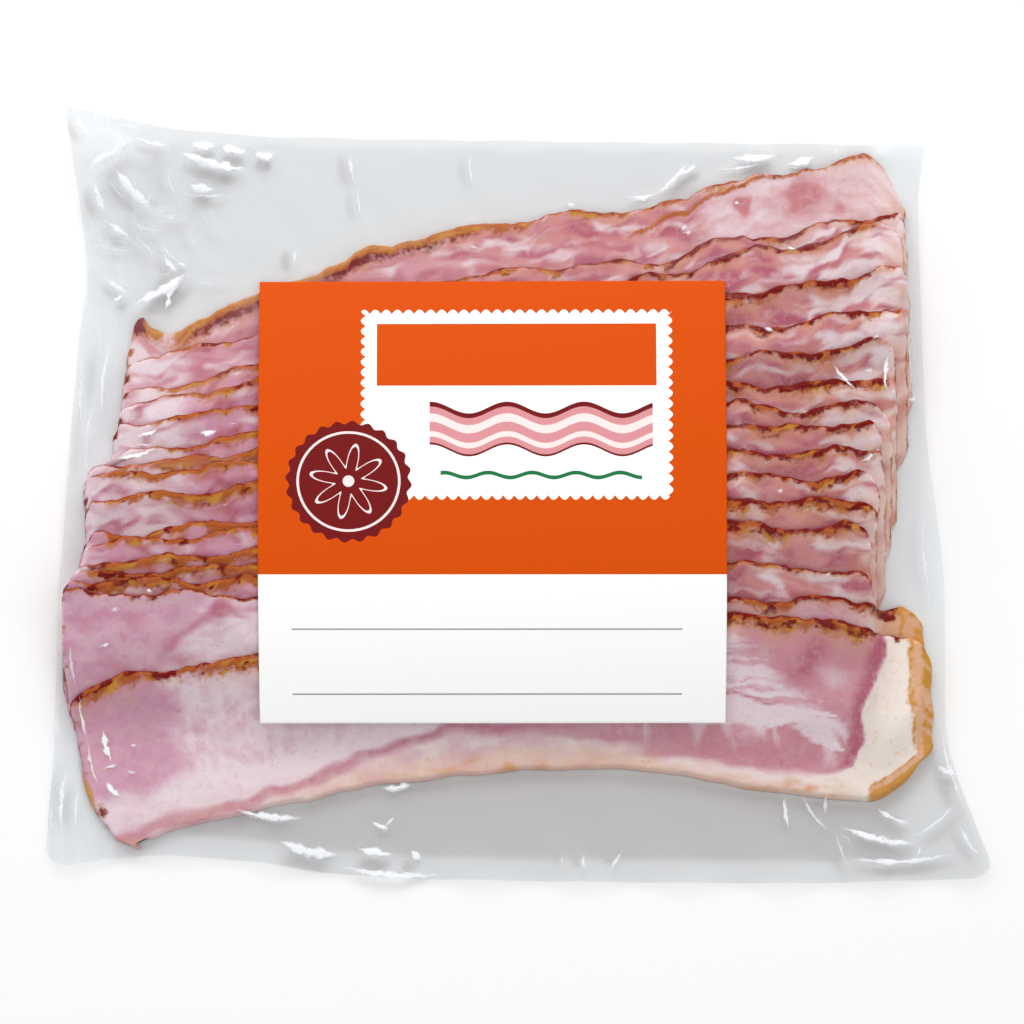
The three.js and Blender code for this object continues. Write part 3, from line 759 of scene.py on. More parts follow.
def first_rasher_marks(x, y):
    """Fat, cream fat and deep lean on the front rasher, each from 0 to 1. A soft deep line runs along its front edge
    with a white band behind it; the left end is lean and turns pale with upright strokes; the right end has a white
    tongue, strands above it and the cream block inside its rind. A warp of the plan makes every border wander."""
    x, y = x + 1.6 * noise(x / 7, y / 7, 39), y + 1.1 * noise(x / 8, y / 6, 40)
    past_line = y - deep_line(x)
    past_block = x - block_side(y)
    strokes = smoothstep(0.0, 0.5, noise(x / 2.6 + 0.06 * y, y / 13, 41))
    swirls = smoothstep(0.30, 0.05, np.abs(noise(x / 6.5, y / 5.5, 42)))
    clouds = rough_noise(x / 10, y / 6, 43)
    along = smoothstep(-70, -35, x)
    dabs = spots(x, y, LEAN_DABS)

    low_band = smoothstep(0.6, 3.4, past_line) * smoothstep(13, 7, past_line + 0.04 * (x + 70)) * smoothstep(20, -15, x)
    pale_left = smoothstep(-96, -86, x + 0.2 * (y + 70) + 3 * clouds) * smoothstep(22, -5, x)
    pale_left = pale_left * smoothstep(0, 3, past_line)
    pale_left = pale_left * (0.6 + 0.3 * swirls + 0.35 * strokes * smoothstep(-55, -65, x) + 0.15 * clouds) - 0.7 * dabs

    above = y - tongue_line(x)
    tilt = np.arctan2(y - STRANDS_MEET[1], STRANDS_MEET[0] - x)
    radius = np.hypot(x - STRANDS_MEET[0], y - STRANDS_MEET[1])
    swept = (tilt + 0.04 * clouds) * np.maximum(radius, 10)
    strands = noise(swept / 1.7, radius / 15, 46) + 0.6 * noise(swept / 1.0, radius / 10, 45)
    half = mix(3.8, 2.8, smoothstep(57, 72, x)) + 1.4 * bump(x, 83, 7)
    feather = mix(0.6, 2.6, smoothstep(66, 82, x))
    tongue = smoothstep(half + 0.8, half - 1.0, np.abs(above) + feather * strands) * smoothstep(90, 86, x + 2 * strands)
    veil = smoothstep(27, 17, above + 0.75 * (x - 57)) * smoothstep(-0.5, 2.5, above)
    veil = veil * mix(0.3, 1.0, smoothstep(-0.5, 0.3, strands))
    seam = bump(above - half, 0.8, 1.3) * smoothstep(76, 66, x) * smoothstep(15, 35, x)
    fan = (np.maximum(tongue, veil) - 0.5 * seam) * smoothstep(15, 35, x)
    under = -half - above
    drips = smoothstep(-0.2, 0.4, noise(x / 2.2 + 0.1 * y, 0.5, 47)) * smoothstep(-2, 0.5, under)
    drips = drips * smoothstep(6.5 + 4 * noise(x / 2.6, 0.5, 48), 0.5, under)
    drips = drips * smoothstep(20, 35, x) * smoothstep(90, 84, x) * 0.6
    mist = mix(0.2, 0.06, smoothstep(20, 45, x)) + 0.14 * clouds + 0.55 * spot(x, y, 86.5, -54.2, 3.4, 2.8)
    fat = mist - 0.1 * smoothstep(-95, -102, x) + 0.74 * low_band + 0.78 * np.clip(pale_left, 0, 1)
    fat = np.clip(fan, 0, 1) + fat + drips

    strip = smoothstep(-0.6, -3.2, past_line) * smoothstep(-106, -96, x) * smoothstep(40, 26, x)
    width = cream_width(x)
    right_cream = smoothstep(width + 1.4, width - 1.6, y - first_rasher_front(x)) * smoothstep(12, 36, x)
    block = smoothstep(-0.7, 0.9, past_block) * smoothstep(40, 60, x)
    right_cream = mix(0.62, 1.0, smoothstep(70, 95, x)) * right_cream
    cream = np.maximum.reduce([(0.5 + 0.2 * clouds) * strip, right_cream, block])
    deep = (
        mix(0.55, 0.8, along) * bump(past_line, 0.0, mix(3.0, 1.8, along)) * smoothstep(25, -10, x)
        + 0.85 * smoothstep(-6.0, -2.2, past_block) * smoothstep(40, 60, x)
        + 0.9 * spot(x, y, 80, -49.5, 7.0, 3.0, 0.94)
        + 0.7 * seam + 0.7 * dabs
        + 0.15 * smoothstep(36, 52, x) * smoothstep(-66, -72, y)
        + 0.3 * smoothstep(0.0, 0.7, clouds)
        + 0.12 * smoothstep(30, 50, x)
    )
    return np.clip(np.maximum(fat, 1.5 * cream), 0, 1.5), np.clip(cream, 0, 1), np.clip(deep, 0, 1)


def second_rasher_marks(x, y):
    """Fat, cream fat and deep lean on the second rasher: lean at the left, then white with a deep curved streak."""
    x, y = x + 1.6 * noise(x / 6, y / 6, 49), y + 1.3 * noise(x / 6, y / 5, 50)
    clouds = rough_noise(x / 12, y / 6, 51)
    swirls = smoothstep(0.30, 0.05, np.abs(noise(x / 7.5, y / 4.5, 52)))
    white = smoothstep(-96, -80, x - 0.6 * (y + 45) + 5 * clouds) * smoothstep(45, 25, x)
    streak_line = mix(-50.0, -36.3, smoothstep(-104, -80, x))
    streak = bump(y, streak_line, 3.0) * mix(0.55, 1.0, smoothstep(-92, -80, x))
    streak = streak * smoothstep(-102, -93, x) * smoothstep(-62, -74, x)
    ends = smoothstep(84, 100, x)
    fat = 0.2 + 0.18 * clouds + white * (0.6 + 0.4 * swirls) - 0.6 * streak + 0.5 * ends
    deep = 0.6 * streak + 0.25 * smoothstep(0.0, 0.7, -clouds)
    return np.clip(fat, 0, 1), 0.4 * ends, np.clip(deep, 0, 1)


def rasher_marks(k, x, y):
    """Fat, cream fat and deep lean on a rasher further back: soft clouds that lie along it and drift a little from one
    rasher to the next, with more fat at the right ends, at the left ends of the rear rashers and, with lean eyes in it,
    on the right half of the rearmost."""
    back = rasher_edge(k, x) - y
    warp = noise(x / 7, back / 4 + 0.4 * k, 60)
    along, across = (x + 4 * warp) / 12 + 0.3 * k, (back + 1.6 * warp) / 4.2 + 0.4 * k
    clouds = noise(along, across, 61) + 0.6 * noise(2.1 * along, 2.1 * across, 62)
    right_fat = smoothstep(78, 100, x + 6 * clouds)
    left_fat = smoothstep(-87, -95, x + 5 * clouds) * smoothstep(4.5, 8, k)
    left_lean = smoothstep(-94, -86, x) * smoothstep(-20, -50, x) * smoothstep(4.5, 8, k)
    fat = smoothstep(-0.6, 0.75, clouds - 0.4 + 0.75 * right_fat + 0.7 * left_fat - 0.35 * left_lean)
    deep = smoothstep(-0.4, 0.8, noise(1.5 * along + 9.3, 1.2 * across, 64) + 0.2 * smoothstep(-20, 40, x))
    if k == LAST:
        at_x, at_y = x + 2.5 * noise(x / 6, y / 6, 65), y + 2.0 * noise(x / 5, y / 5, 66)
        eyes = smoothstep(0.12, 0.7, spots(at_x, at_y, LEAN_EYES) + 0.15 * clouds)
        fat = mix(fat, 0.66 + 0.3 * clouds, smoothstep(46, 58, x)) - 0.65 * eyes
        deep = mix(deep, 0.15, smoothstep(46, 58, x)) + 0.3 * eyes
    return np.clip(fat, 0, 1), 0.25 * right_fat, np.clip(deep, 0, 1)


def crust_marks(k, x, y):
    """Stain, crust, its darkness and its gold on rasher k, each from 0 to 1: a ragged band of crust inside the back
    edge whose width comes and goes, with a stain that fades into the meat, a thin broken dark line round the rim that
    is partly dark crust and partly painted contact shadow, dots on the left end, a stained right end, and dark and
    golden blotches in the crust. The rearmost has a dark line along the heart of its crust, a dark left corner and a
    second line of crust at the right."""
    depth = rasher_depth(k, x, y)
    back = rasher_edge(k, x) - y
    left_gap, right_gap = x - rasher_left(k, y), rasher_right(k, y) - x
    along = noise(x / 13, 4.7 * k + 0.3, 71) + 0.6 * noise(x / 4.5, 3.9 * k + 0.6, 72)
    ragged = 0.6 * noise(x / 2.4, back / 1.5, 73) + 0.4 * noise(x / 1.1, back / 0.9, 70)
    least = CRUST_LEAST[k] * (smoothstep(20, -20, x) if k == LAST else 1.0)
    width = mix(*CRUST_WIDTHS[k], smoothstep(-70, 50, x)) * mix(least, 1.25, smoothstep(-0.55, 0.5, along))
    if 1 < k < LAST:
        full = REAR_CRUST_FULL if k >= REAR_CRUST_FROM else CRUST_FULL
        width = width * smoothstep(CRUST_STARTS, full, left_gap)
    if k == 0:
        width = width * smoothstep(100, 93, x)
    band = smoothstep(width + 0.9, 0.2 * width, back + ragged * np.minimum(width, 1.8) / 1.5)
    broken = smoothstep(-0.4, 0.4, noise(x / 5, y / 4 + 2.1 * k, 80))
    # Thin broken line round the rim: partly dark crust, partly painted contact shadow where the rim meets the rasher
    # under it.
    outline = smoothstep(1.1, 0.2, depth + 0.4 * ragged) * mix(0.25, 0.8, broken)
    dots = smoothstep(2.8, 1.2, left_gap + 0.6 * ragged) * smoothstep(0.0, 0.4, noise(y / 2.7, k * 2.3, 75))
    dots = dots * (1.0 if k > 1 else 0.5)
    end = smoothstep(9, 2.5, right_gap + 1.5 * ragged) * smoothstep(4, 10, back) * (k > 1)
    crust = np.maximum.reduce([band, outline, dots])
    halo = smoothstep(1.6 * width + 1.8, 0.4 * width, back + 1.4 * ragged)
    stain = np.maximum(mix(0.25, 0.5, smoothstep(-60, 40, x)) * halo, 0.4 * end)
    blotches = noise(x / 3.8 + 1.3 * k, back / 2.4, 76) + 0.4 * noise(x / 1.5, back / 1.2, 81)
    blotches = smoothstep(0.0, 0.65, blotches + mix(-0.05, 0.34, smoothstep(-60, 40, x))) * smoothstep(5.5, 1.5, back)
    # Darker at the rim: partly dark crust, partly painted contact shadow.
    dark = 0.55 * smoothstep(mix(1.0, 1.7, smoothstep(-40, 40, x)), 0.35, depth + 0.5 * ragged) + 0.95 * blotches
    dark = np.maximum(dark * (1 - 0.4 * end), 0.85 * dots)
    gold = smoothstep(-0.05, 0.6, noise(x / 4.5, 1.7 * k + back / 2.4, 77)) * smoothstep(0.5, 1.5, back)
    if k == LAST:
        inner = bump(back + 0.5 * ragged, rear_crust_inset(x), 1.7) * smoothstep(26, 36, x)
        crust = np.maximum(crust, 0.8 * inner)
        left = smoothstep(10, -40, x)
        heart = bump(back + 0.8 * ragged, 4.0, 2.4) * smoothstep(-97, -84, x)
        corner = smoothstep(0.3, 0.7, spot(x, y, -106, 46.8, 2.3, 3.6) + 0.3 * ragged)
        crust = np.maximum(crust * mix(1, 0.3, bump(x, -97.5, 4)), corner)
        dark = np.maximum(mix(0.4 * dark, heart + 0.3 * blotches, left), corner)
        gold = np.maximum(gold, 0.5 * left * smoothstep(3.2, 1.2, back + ragged)) * (1 - heart)
    if k < 2:
        soft, rind, golden, burnt = rind_marks(k, x, y, right_gap)
        stain, crust = np.maximum(stain, soft), np.maximum(crust, rind)
        gold, dark = np.maximum(gold, golden), np.maximum(mix(dark, 0, golden), burnt)
    return tuple(np.clip(share, 0, 1) for share in (stain, crust, dark, gold))


def rind_marks(k, x, y, right_gap):
    """Stain, crust, gold and darkness of the rind round the right end of the two front rashers: golden dashes on the
    rim that join round the front corner, a tan strip inside them, a fine golden line inside that, and a dark burnt spot
    at the back corner. The front one also has a rind on its left tip and a stained, spotted front edge, whose stain is
    partly the meat's own tan and partly painted shade on the slope there."""
    front_gap = y - rasher_front(k, x)
    out = np.minimum(right_gap, front_gap + 40 * smoothstep(97, 92, x))
    out = out + 0.5 * noise(x / 3, y / 4, 78) + 2.2 * smoothstep(-60, -78, y) * smoothstep(3, 6, out)
    dashes = smoothstep(-0.15, 0.2, noise((y + 0.6 * x) / 3.6, 0.7 * k + 0.4, 79))
    dashes = np.maximum(dashes, smoothstep(-68, -74, y))
    rim = smoothstep(3.4, 2.4, out) * mix(0.1, 1.0, dashes)
    line = 0.85 * bump(out, 6.1, 1.2)
    golden = smoothstep(7.4, 6.6, out)
    stain = 0.9 * smoothstep(7.2, 5.8, out)
    if k == 0:
        tip = spot(x, y, -105, -98.5, 4.5, 2.2)
        left_rind = smoothstep(2.2, 1.0, x - rasher_left(k, y)) * bump(y, -85, 9)
        rim, golden = np.maximum(rim, left_rind), np.maximum(golden, left_rind)
        brown = smoothstep(0.0, 0.6, noise(x / 4.5, y / 2.5, 82)) * spots(x, y, BROWN_SPOTS)
        # Stain along the front edge: partly the meat's own tan, partly painted shade on the slope there.
        under = smoothstep(mix(10, 5, smoothstep(20, 45, x)), 0.5, front_gap + 1.5 * noise(x / 5, y / 2, 83))
        under = under * smoothstep(-108, -90, x) * smoothstep(96, 86, x)
        under = under * mix(0.25, 0.5, smoothstep(-70, -30, x))
        stain = np.maximum.reduce([stain, 0.5 * tip, under + 0.6 * brown])
    else:
        stain = np.maximum(stain, 0.85 * smoothstep(95, 102, x))
    burnt = spots(x, y, BURNT_SPOTS[k]) + 0.25 * noise(x / 1.7, y / 1.4, 84)
    burnt = 0.9 * smoothstep(0.25, 0.8, burnt)
    return stain, np.maximum.reduce([rim, line, burnt]), golden, burnt


def rasher_finish():
    """Moist sliced meat: lean and fat set by the points' own shares with fine mottling, then the smoked crust, with a
    fine grain as relief and a damp gloss that is lower on the crust."""
    colours = bpy.context.scene.bacon_pack_colours
    nodes = Nodes("sliced_bacon")
    place = nodes.place()
    grain = nodes.noise(place, MEAT_GRAIN, detail=3.0, roughness=0.6)
    mottle = nodes.noise(place, MEAT_MOTTLE, detail=4.0, roughness=0.62, distortion=0.8)
    fat, cream, deep, warm, stain, crust, dark, gold = (nodes.attribute(name) for name in MEAT_SHARES)

    def varied(share, coarse, fine):
        """A share with some of the mottling and of the grain added, about its own middle."""
        rough = nodes.math("MULTIPLY_ADD", mottle, coarse, nodes.math("SUBTRACT", share, coarse / 2))
        return nodes.math("MULTIPLY_ADD", grain, fine, nodes.math("SUBTRACT", rough, fine / 2), clamp=True)

    pale_lean = nodes.blend(warm, colours.lean, colours.warm_lean)
    lean_colour = nodes.blend(varied(deep, 1.0, 0.6), pale_lean, colours.deep_lean)
    fat_colour = nodes.blend(cream, colours.fat, colours.cream)
    meat = nodes.blend(varied(fat, 1.0, 0.5), lean_colour, fat_colour)
    meat = nodes.blend(varied(stain, 0.5, 0.3), meat, colours.stain)
    bright_crust = nodes.blend(varied(gold, 1.6, 1.2), colours.crust, colours.gold)
    crust_colour = nodes.blend(nodes.step(varied(dark, 1.5, 1.3), 0.15, 0.85), bright_crust, colours.char)
    crust_share = nodes.step(varied(crust, 1.2, 1.0), 0.08, 0.9)
    shader = nodes.add(
        "ShaderNodeBsdfPrincipled",
        [
            ("Base Color", nodes.blend(crust_share, meat, crust_colour)),
            ("Roughness", nodes.step(crust_share, 0.0, 1.0, *MEAT_TO_CRUST_ROUGHNESS)),
            ("Specular IOR Level", MEAT_GLOSS),
            ("Normal", nodes.relief(grain, 0.25, 0.5)),
        ],
    )
    return nodes.finish(shader.outputs[0])


def film_finish():
    """Clear film: it lets light through with a slight tint, greyer where painted shade lies on it, and mirrors more at
    a slant by the fifth power of one less the cosine. It has a milky veil, which also carries painted reflections at
    the lifted corner and painted sheen along the left pleats, with white streaks along its creases that are painted
    highlights as well as the film's whitening. A streak lies where the distance across a crease, which the points
    carry, is less than a reach that varies along it."""
    colours = bpy.context.scene.bacon_pack_colours
    nodes = Nodes("clear_film")
    place = nodes.place()
    crinkle = nodes.relief(nodes.noise(place, 5.0, detail=3.0, roughness=0.45, distortion=0.8), 0.12, 0.3)
    # The film's tint turns grey where painted shade lies on it.
    tint = nodes.blend(nodes.attribute("shade"), colours.film, colours.painted_shade_film)
    clear = nodes.add("ShaderNodeBsdfTransparent", [("Color", tint)])
    veil = nodes.add("ShaderNodeBsdfDiffuse", [("Color", VEIL_COLOUR), ("Normal", crinkle)])
    shine = [("Color", (1, 1, 1, 1)), ("Roughness", FILM_ROUGHNESS), ("Normal", crinkle)]
    gloss = nodes.add("ShaderNodeBsdfGlossy", shine)
    wander = nodes.noise(place, 1.7, detail=2.0, roughness=0.6)
    breadth = nodes.step(nodes.noise(place, 3.1), 0.25, 0.75, 0.3, 1.5)
    # The veil, with its painted reflections and sheen, and the white streaks, which are painted highlights, add up to
    # one share of milky diffuse.
    milk_and_glint = nodes.attribute("veil")
    for layer in range(CREASE_LAYERS):
        white, offset = nodes.attribute(f"white_{layer}"), nodes.attribute(f"across_{layer}")
        across = nodes.math("ABSOLUTE", nodes.math("MULTIPLY_ADD", wander, STREAK_WANDER, offset))
        reach = nodes.math("MULTIPLY", white, breadth)
        streak = nodes.step(across, reach, nodes.math("MULTIPLY", reach, 0.2))
        streak = nodes.math("MULTIPLY", streak, nodes.math("MINIMUM", white, 1.0))
        milk_and_glint = nodes.math("MULTIPLY_ADD", streak, 1.1, milk_and_glint, clamp=True)
    milky = nodes.add("ShaderNodeMixShader", [(0, milk_and_glint), (1, clear.outputs[0]), (2, veil.outputs[0])])
    slant = nodes.add("ShaderNodeLayerWeight", [("Blend", 0.5), ("Normal", crinkle)]).outputs["Facing"]
    mirror = nodes.math("MULTIPLY_ADD", nodes.math("POWER", slant, 5.0), FILM_MIRROR_AT_SLANT, FILM_MIRROR)
    shader = nodes.add("ShaderNodeMixShader", [(0, mirror), (1, milky.outputs[0]), (2, gloss.outputs[0])])
    return nodes.finish(shader.outputs[0])


def label_finish():
    """Coated paper with plain printed shapes, drawn from the label's own plan in mm: an orange field over a white one,
    a stamp-edged panel with a bar and a wavy rasher, a rosette, and two thin rules."""
    colours = bpy.context.scene.bacon_pack_colours
    nodes = Nodes("printed_label")
    plan = nodes.add("ShaderNodeUVMap", uv_map="plan").outputs[0]
    width, depth = LABEL_RIGHT - LABEL_LEFT, LABEL_BACK - LABEL_FRONT
    scaled = nodes.add("ShaderNodeMapping", [("Vector", plan), ("Scale", (width, depth, 1))]).outputs[0]
    split = nodes.add("ShaderNodeSeparateXYZ", [(0, scaled)])
    x, y = split.outputs[0], split.outputs[1]

    def both(first, second):
        return nodes.math("MULTIPLY", first, second)

    def wave(along, length, height, phase=0.0):
        turn = nodes.math("MULTIPLY_ADD", along, 2 * math.pi / length, phase)
        return nodes.math("MULTIPLY", nodes.math("SINE", turn), height)

    def scallops(along, pitch, depth):
        """Depth of the notches between round bites of a pitch."""
        arch = nodes.math("ABSOLUTE", nodes.math("SINE", nodes.math("MULTIPLY", along, math.pi / pitch)))
        return nodes.math("MULTIPLY_ADD", arch, -depth, depth)

    def within(value, centre, half):
        away = nodes.math("ABSOLUTE", nodes.math("SUBTRACT", value, centre))
        return nodes.math("LESS_THAN", away, half)

    def box(left, right, low, high, edge_x=0.0, edge_y=0.0):
        away_x = nodes.math("ABSOLUTE", nodes.math("SUBTRACT", x, (left + right) / 2))
        away_y = nodes.math("ABSOLUTE", nodes.math("SUBTRACT", y, (low + high) / 2))
        inside_x = nodes.math("LESS_THAN", nodes.math("ADD", away_x, edge_x), (right - left) / 2)
        inside_y = nodes.math("LESS_THAN", nodes.math("ADD", away_y, edge_y), (high - low) / 2)
        return both(inside_x, inside_y)

    orange, paper = colours.label, colours.paper
    colour = nodes.blend(nodes.math("GREATER_THAN", y, FIELD_FROM_Y), paper, orange)
    bites_x, bites_y = (scallops(along, pitch, PANEL_BITE_DEPTH) for along, pitch in zip((x, y), PANEL_BITES))
    panel = box(*PANEL_BOX, bites_y, bites_x)
    colour = nodes.blend(panel, colour, paper)
    colour = nodes.blend(box(*BAR_BOX), colour, orange)
    for rule in RULE_BOXES:
        colour = nodes.blend(box(*rule), colour, RULE_GREY)

    ribbon = nodes.math("SUBTRACT", y, nodes.math("ADD", wave(x, *RIBBON_WAVE), RIBBON_Y))
    ribbon_span = box(*RIBBON_BOX)
    for centre, half, tone in (
        (0.0, 6.2, colours.seal), (-0.4, 5.2, RIBBON_PINK), (1.6, 1.2, PALE_PRINT), (-3.1, 0.8, PALE_PRINT)
    ):
        colour = nodes.blend(both(within(ribbon, centre, half), ribbon_span), colour, tone)
    leaf_line = nodes.math("SUBTRACT", y, nodes.math("ADD", wave(x, *LEAF_WAVE), LEAF_Y))
    colour = nodes.blend(both(within(leaf_line, 0.0, LEAF_HALF_WIDTH), box(*LEAF_BOX)), colour, colours.leaf)

    from_x, from_y = nodes.math("SUBTRACT", x, ROSETTE_X), nodes.math("SUBTRACT", y, ROSETTE_Y)
    radius = nodes.math("SQRT", nodes.math("ADD", both(from_x, from_x), both(from_y, from_y)))
    turn = nodes.math("ARCTAN2", from_y, from_x)
    toothed = nodes.math("ADD", radius, wave(turn, 2 * math.pi / ROSETTE_TEETH, ROSETTE_TOOTH))
    colour = nodes.blend(nodes.math("LESS_THAN", toothed, ROSETTE_RADIUS), colour, colours.seal)
    colour = nodes.blend(within(radius, RING_RADIUS, RING_HALF_WIDTH), colour, PALE_PRINT)
    petals = nodes.math("ADD", radius, wave(turn, 2 * math.pi / PETALS, PETAL_SWING))
    colour = nodes.blend(within(petals, PETAL_RADIUS, PETAL_HALF_WIDTH), colour, PALE_PRINT)
    colour = nodes.blend(nodes.math("LESS_THAN", radius, HEART_RADIUS), colour, PALE_PRINT)

    fibre = nodes.noise(nodes.place(), 0.7, detail=3.0)
    shader = nodes.add(
        "ShaderNodeBsdfPrincipled",
        [
            ("Base Color", colour),
            ("Roughness", nodes.step(fibre, 0.2, 0.8, 0.5, 0.62)),
            ("Specular IOR Level", 0.08),
            ("Normal", nodes.relief(fibre, 0.03, 0.5)),
        ],
    )
    return nodes.finish(shader.outputs[0])


def floor_finish():
    """Matt white paper sweep with a very faint grain."""
    nodes = Nodes("studio_floor")
    grain = nodes.noise(nodes.place(), 3.0)
    shader = nodes.add(
        "ShaderNodeBsdfPrincipled",
        [
            ("Base Color", (*bpy.context.scene.bacon_pack_colours.floor, 1.0)),
            ("Roughness", nodes.step(grain, 0.0, 1.0, 0.85, 0.95)),
            ("Specular IOR Level", 0.1),
        ],
    )
    return nodes.finish(shader.outputs[0])


def from_raised_corner(x, y):
    """Distance from the pouch's lifted corner, seen from above."""
    return np.hypot(x - RAISED_CORNER[0], y - RAISED_CORNER[1])


def margin_height(x, y):
    """Height at which the empty margin of the pouch lies: a little off the table, in long slanting folds, rising to the
    lifted corner."""
    folds = np.sin(2 * np.pi * (x + FOLD_SLANT * y) / FOLD_LENGTH) * np.cos(np.pi * y / FOLD_LENGTH)
    corner = np.exp(-(from_raised_corner(x, y) / RAISED_CORNER_REACH) ** 2)
    return MARGIN_LIFT + FOLD_HEIGHT * folds + RAISED_CORNER_HEIGHT * corner


def relaxed(low, rounds):
    """Skin over a rough height: each round lifts every inner point to the mean of its four neighbours where that is
    higher, so that the skin bridges steps and hollows."""
    skin = low.copy()
    for _ in range(rounds):
        mean = (skin[:-2, 1:-1] + skin[2:, 1:-1] + skin[1:-1, :-2] + skin[1:-1, 2:]) / 4
        skin[1:-1, 1:-1] = np.maximum(low[1:-1, 1:-1], mean)
    return skin


def ridges(x, y, seed):
    """Sharp creases with slack facets between them: 1 on the zero lines of a warped noise, falling off on both
    sides."""
    warp_x, warp_y = 0.5 * noise(x * 0.7, y * 0.7, seed + 1), 0.5 * noise(x * 0.7, y * 0.7, seed + 2)
    return 1 - np.minimum(1.4 * np.abs(noise(x + warp_x, y + warp_y, seed)), 1)


def strewn_creases(draws, count, origin, area, turns, halves, shapes):
    """Straight creases strewn over an area by seeded draws: both ends, half width, height and whiteness of each, as in
    the drawn ones. area, halves and shapes are pairs of least and most, and turns draws the directions."""
    middle = np.array(origin) + draws.uniform(*area, (count, 2))
    turn, half = turns(count), draws.uniform(*halves, count)
    reach = np.stack([half * np.cos(turn), half * np.sin(turn)], axis=1)
    return np.hstack([middle - reach, middle + reach, draws.uniform(*shapes, (count, 3))])


def creases(x, y):
    """Height, whiteness, distance across and painted shade of the film's single creases: each is a ridge along a line
    from end to end, a bell across it and tapered to both ends, with a grey band of painted shade along one side. The
    whiteness is a painted highlight along the crease, which also stands for the film's whitening there. The drawn ones
    come first, then small ones strewn over the lifted corner and short painted glints over the pile. Whiteness and
    distance come in layers, to which the creases go in turn, and in each layer they are those of the whitest crease
    nearby."""
    draws = np.random.default_rng(8)
    small = strewn_creases(
        draws, STREWN_CREASES, RAISED_CORNER, ((4, -52), (48, -4)), lambda count: draws.uniform(-1.4, 0.6, count),
        (3, 9), ((0.8, 0.3, 0.08), (1.3, 0.9, 0.4)),
    )
    glints = strewn_creases(
        draws, STREWN_GLINTS, (0, 0), ((-118, -82), (106, 92)), lambda count: draws.normal(0, 0.5, count),
        (0.6, 1.8), ((0.8, 0.05, 0.4), (1.0, 0.2, 0.9)),
    )
    height, grey = np.zeros_like(x), np.zeros_like(x)
    white, offset = (np.zeros((CREASE_LAYERS, *x.shape)) for _ in range(2))
    for number, (x0, y0, x1, y1, width, rise, milk_and_glint) in enumerate(np.vstack([CREASES, small, glints])):
        layer = number % CREASE_LAYERS
        length = math.hypot(x1 - x0, y1 - y0)
        way_x, way_y = (x1 - x0) / length, (y1 - y0) / length
        along = ((x - x0) * way_x + (y - y0) * way_y) / length
        across = (y - y0) * way_x - (x - x0) * way_y + 0.06 * length * np.sin(np.pi * along)
        taper = smoothstep(-0.02, 0.4, along) * smoothstep(1.02, 0.6, along)
        height += rise * taper * np.exp(-(across / width) ** 2)
        # Whiteness near the crease: a painted highlight, which also stands for the film's whitening there.
        near = milk_and_glint * taper * smoothstep(4.0, 2.0, np.abs(across))
        # A grey band of painted shade along one side of the crease.
        grey = np.maximum(grey, min(milk_and_glint, 1) * taper * bump(across, -2.6 * width, 1.8 * width))
        offset[layer] = np.where(near > white[layer], across, offset[layer])
        white[layer] = np.maximum(white[layer], near)
    return height, white, offset, grey


def crumple(x, y, margin):
    """Height of the film's broad slackness: large facets at the lifted corner, soft swells in the empty margins,
    upright pleats at the left and very low swells over the meat."""
    corner = np.exp(-(from_raised_corner(x, y) / FACETS_REACH) ** 2)
    return (
        corner * (2.6 * ridges(x / 23, y / 23, 81) ** 2 + 0.8 * ridges(x / 11, y / 11, 84) ** 2)
        + margin * (0.5 * noise(x / 16, y / 21, 87) + 0.12 * noise(x / 6, y / 7, 90))
        + margin * 0.5 * smoothstep(*PLEATS_X, x) * noise(x / 5, y / 40, 97)
        + 0.05 * noise(x / 7, y / 5, 93)
    )


class BACON_OT_stage(bpy.types.Operator):
    """Adds the white floor, the studio lights and the camera"""

    bl_idname = "bacon_pack.stage"
    bl_label = "Stage"

    def execute(self, context):
        scene = context.scene
        side = FLOOR_HALF
        mesh = bpy.data.meshes.new("floor")
        mesh.from_pydata([(-side, -side, 0), (side, -side, 0), (side, side, 0), (-side, side, 0)], [], [(0, 1, 2, 3)])
        mesh.materials.append(floor_finish())
        floor = bpy.data.objects.new("floor", mesh)
        scene.collection.objects.link(floor)

        world = bpy.data.worlds.new("studio")
        world.use_nodes = True
        background = world.node_tree.nodes["Background"]
        background.inputs["Color"].default_value = (1.0, 1.0, 1.0, 1.0)
        background.inputs["Strength"].default_value = SKY_STRENGTH
        scene.world = world
        scene.view_settings.view_transform = "Standard"

        for name, place, size, power in LIGHTS:
            lamp = bpy.data.lights.new(name, "AREA")
            lamp.shape = "RECTANGLE"
            lamp.size, lamp.size_y = size
            lamp.energy = power
            light = bpy.data.objects.new(name, lamp)
            light.location = place
            aim(light, (0.0, 0.0, 0.0))
            scene.collection.objects.link(light)

        camera = bpy.data.cameras.new("camera")
        camera.sensor_width = CAMERA_SENSOR
        camera.lens = CAMERA_LENS
        view = bpy.data.objects.new("camera", camera)
        target = np.array(CAMERA_TARGET) * MM
        back = np.array([0.0, -math.cos(CAMERA_ELEVATION), math.sin(CAMERA_ELEVATION)])
        view.location = target + back * CAMERA_DISTANCE * MM
        aim(view, target)
        scene.collection.objects.link(view)
        scene.camera = view
        return {"FINISHED"}


def aim(thing, target):
    """Turns a light or camera so that it looks along its own -z at a point, with its y upwards."""
    way = type(thing.location)(target) - thing.location
    thing.rotation_euler = way.to_track_quat("-Z", "Y").to_euler()


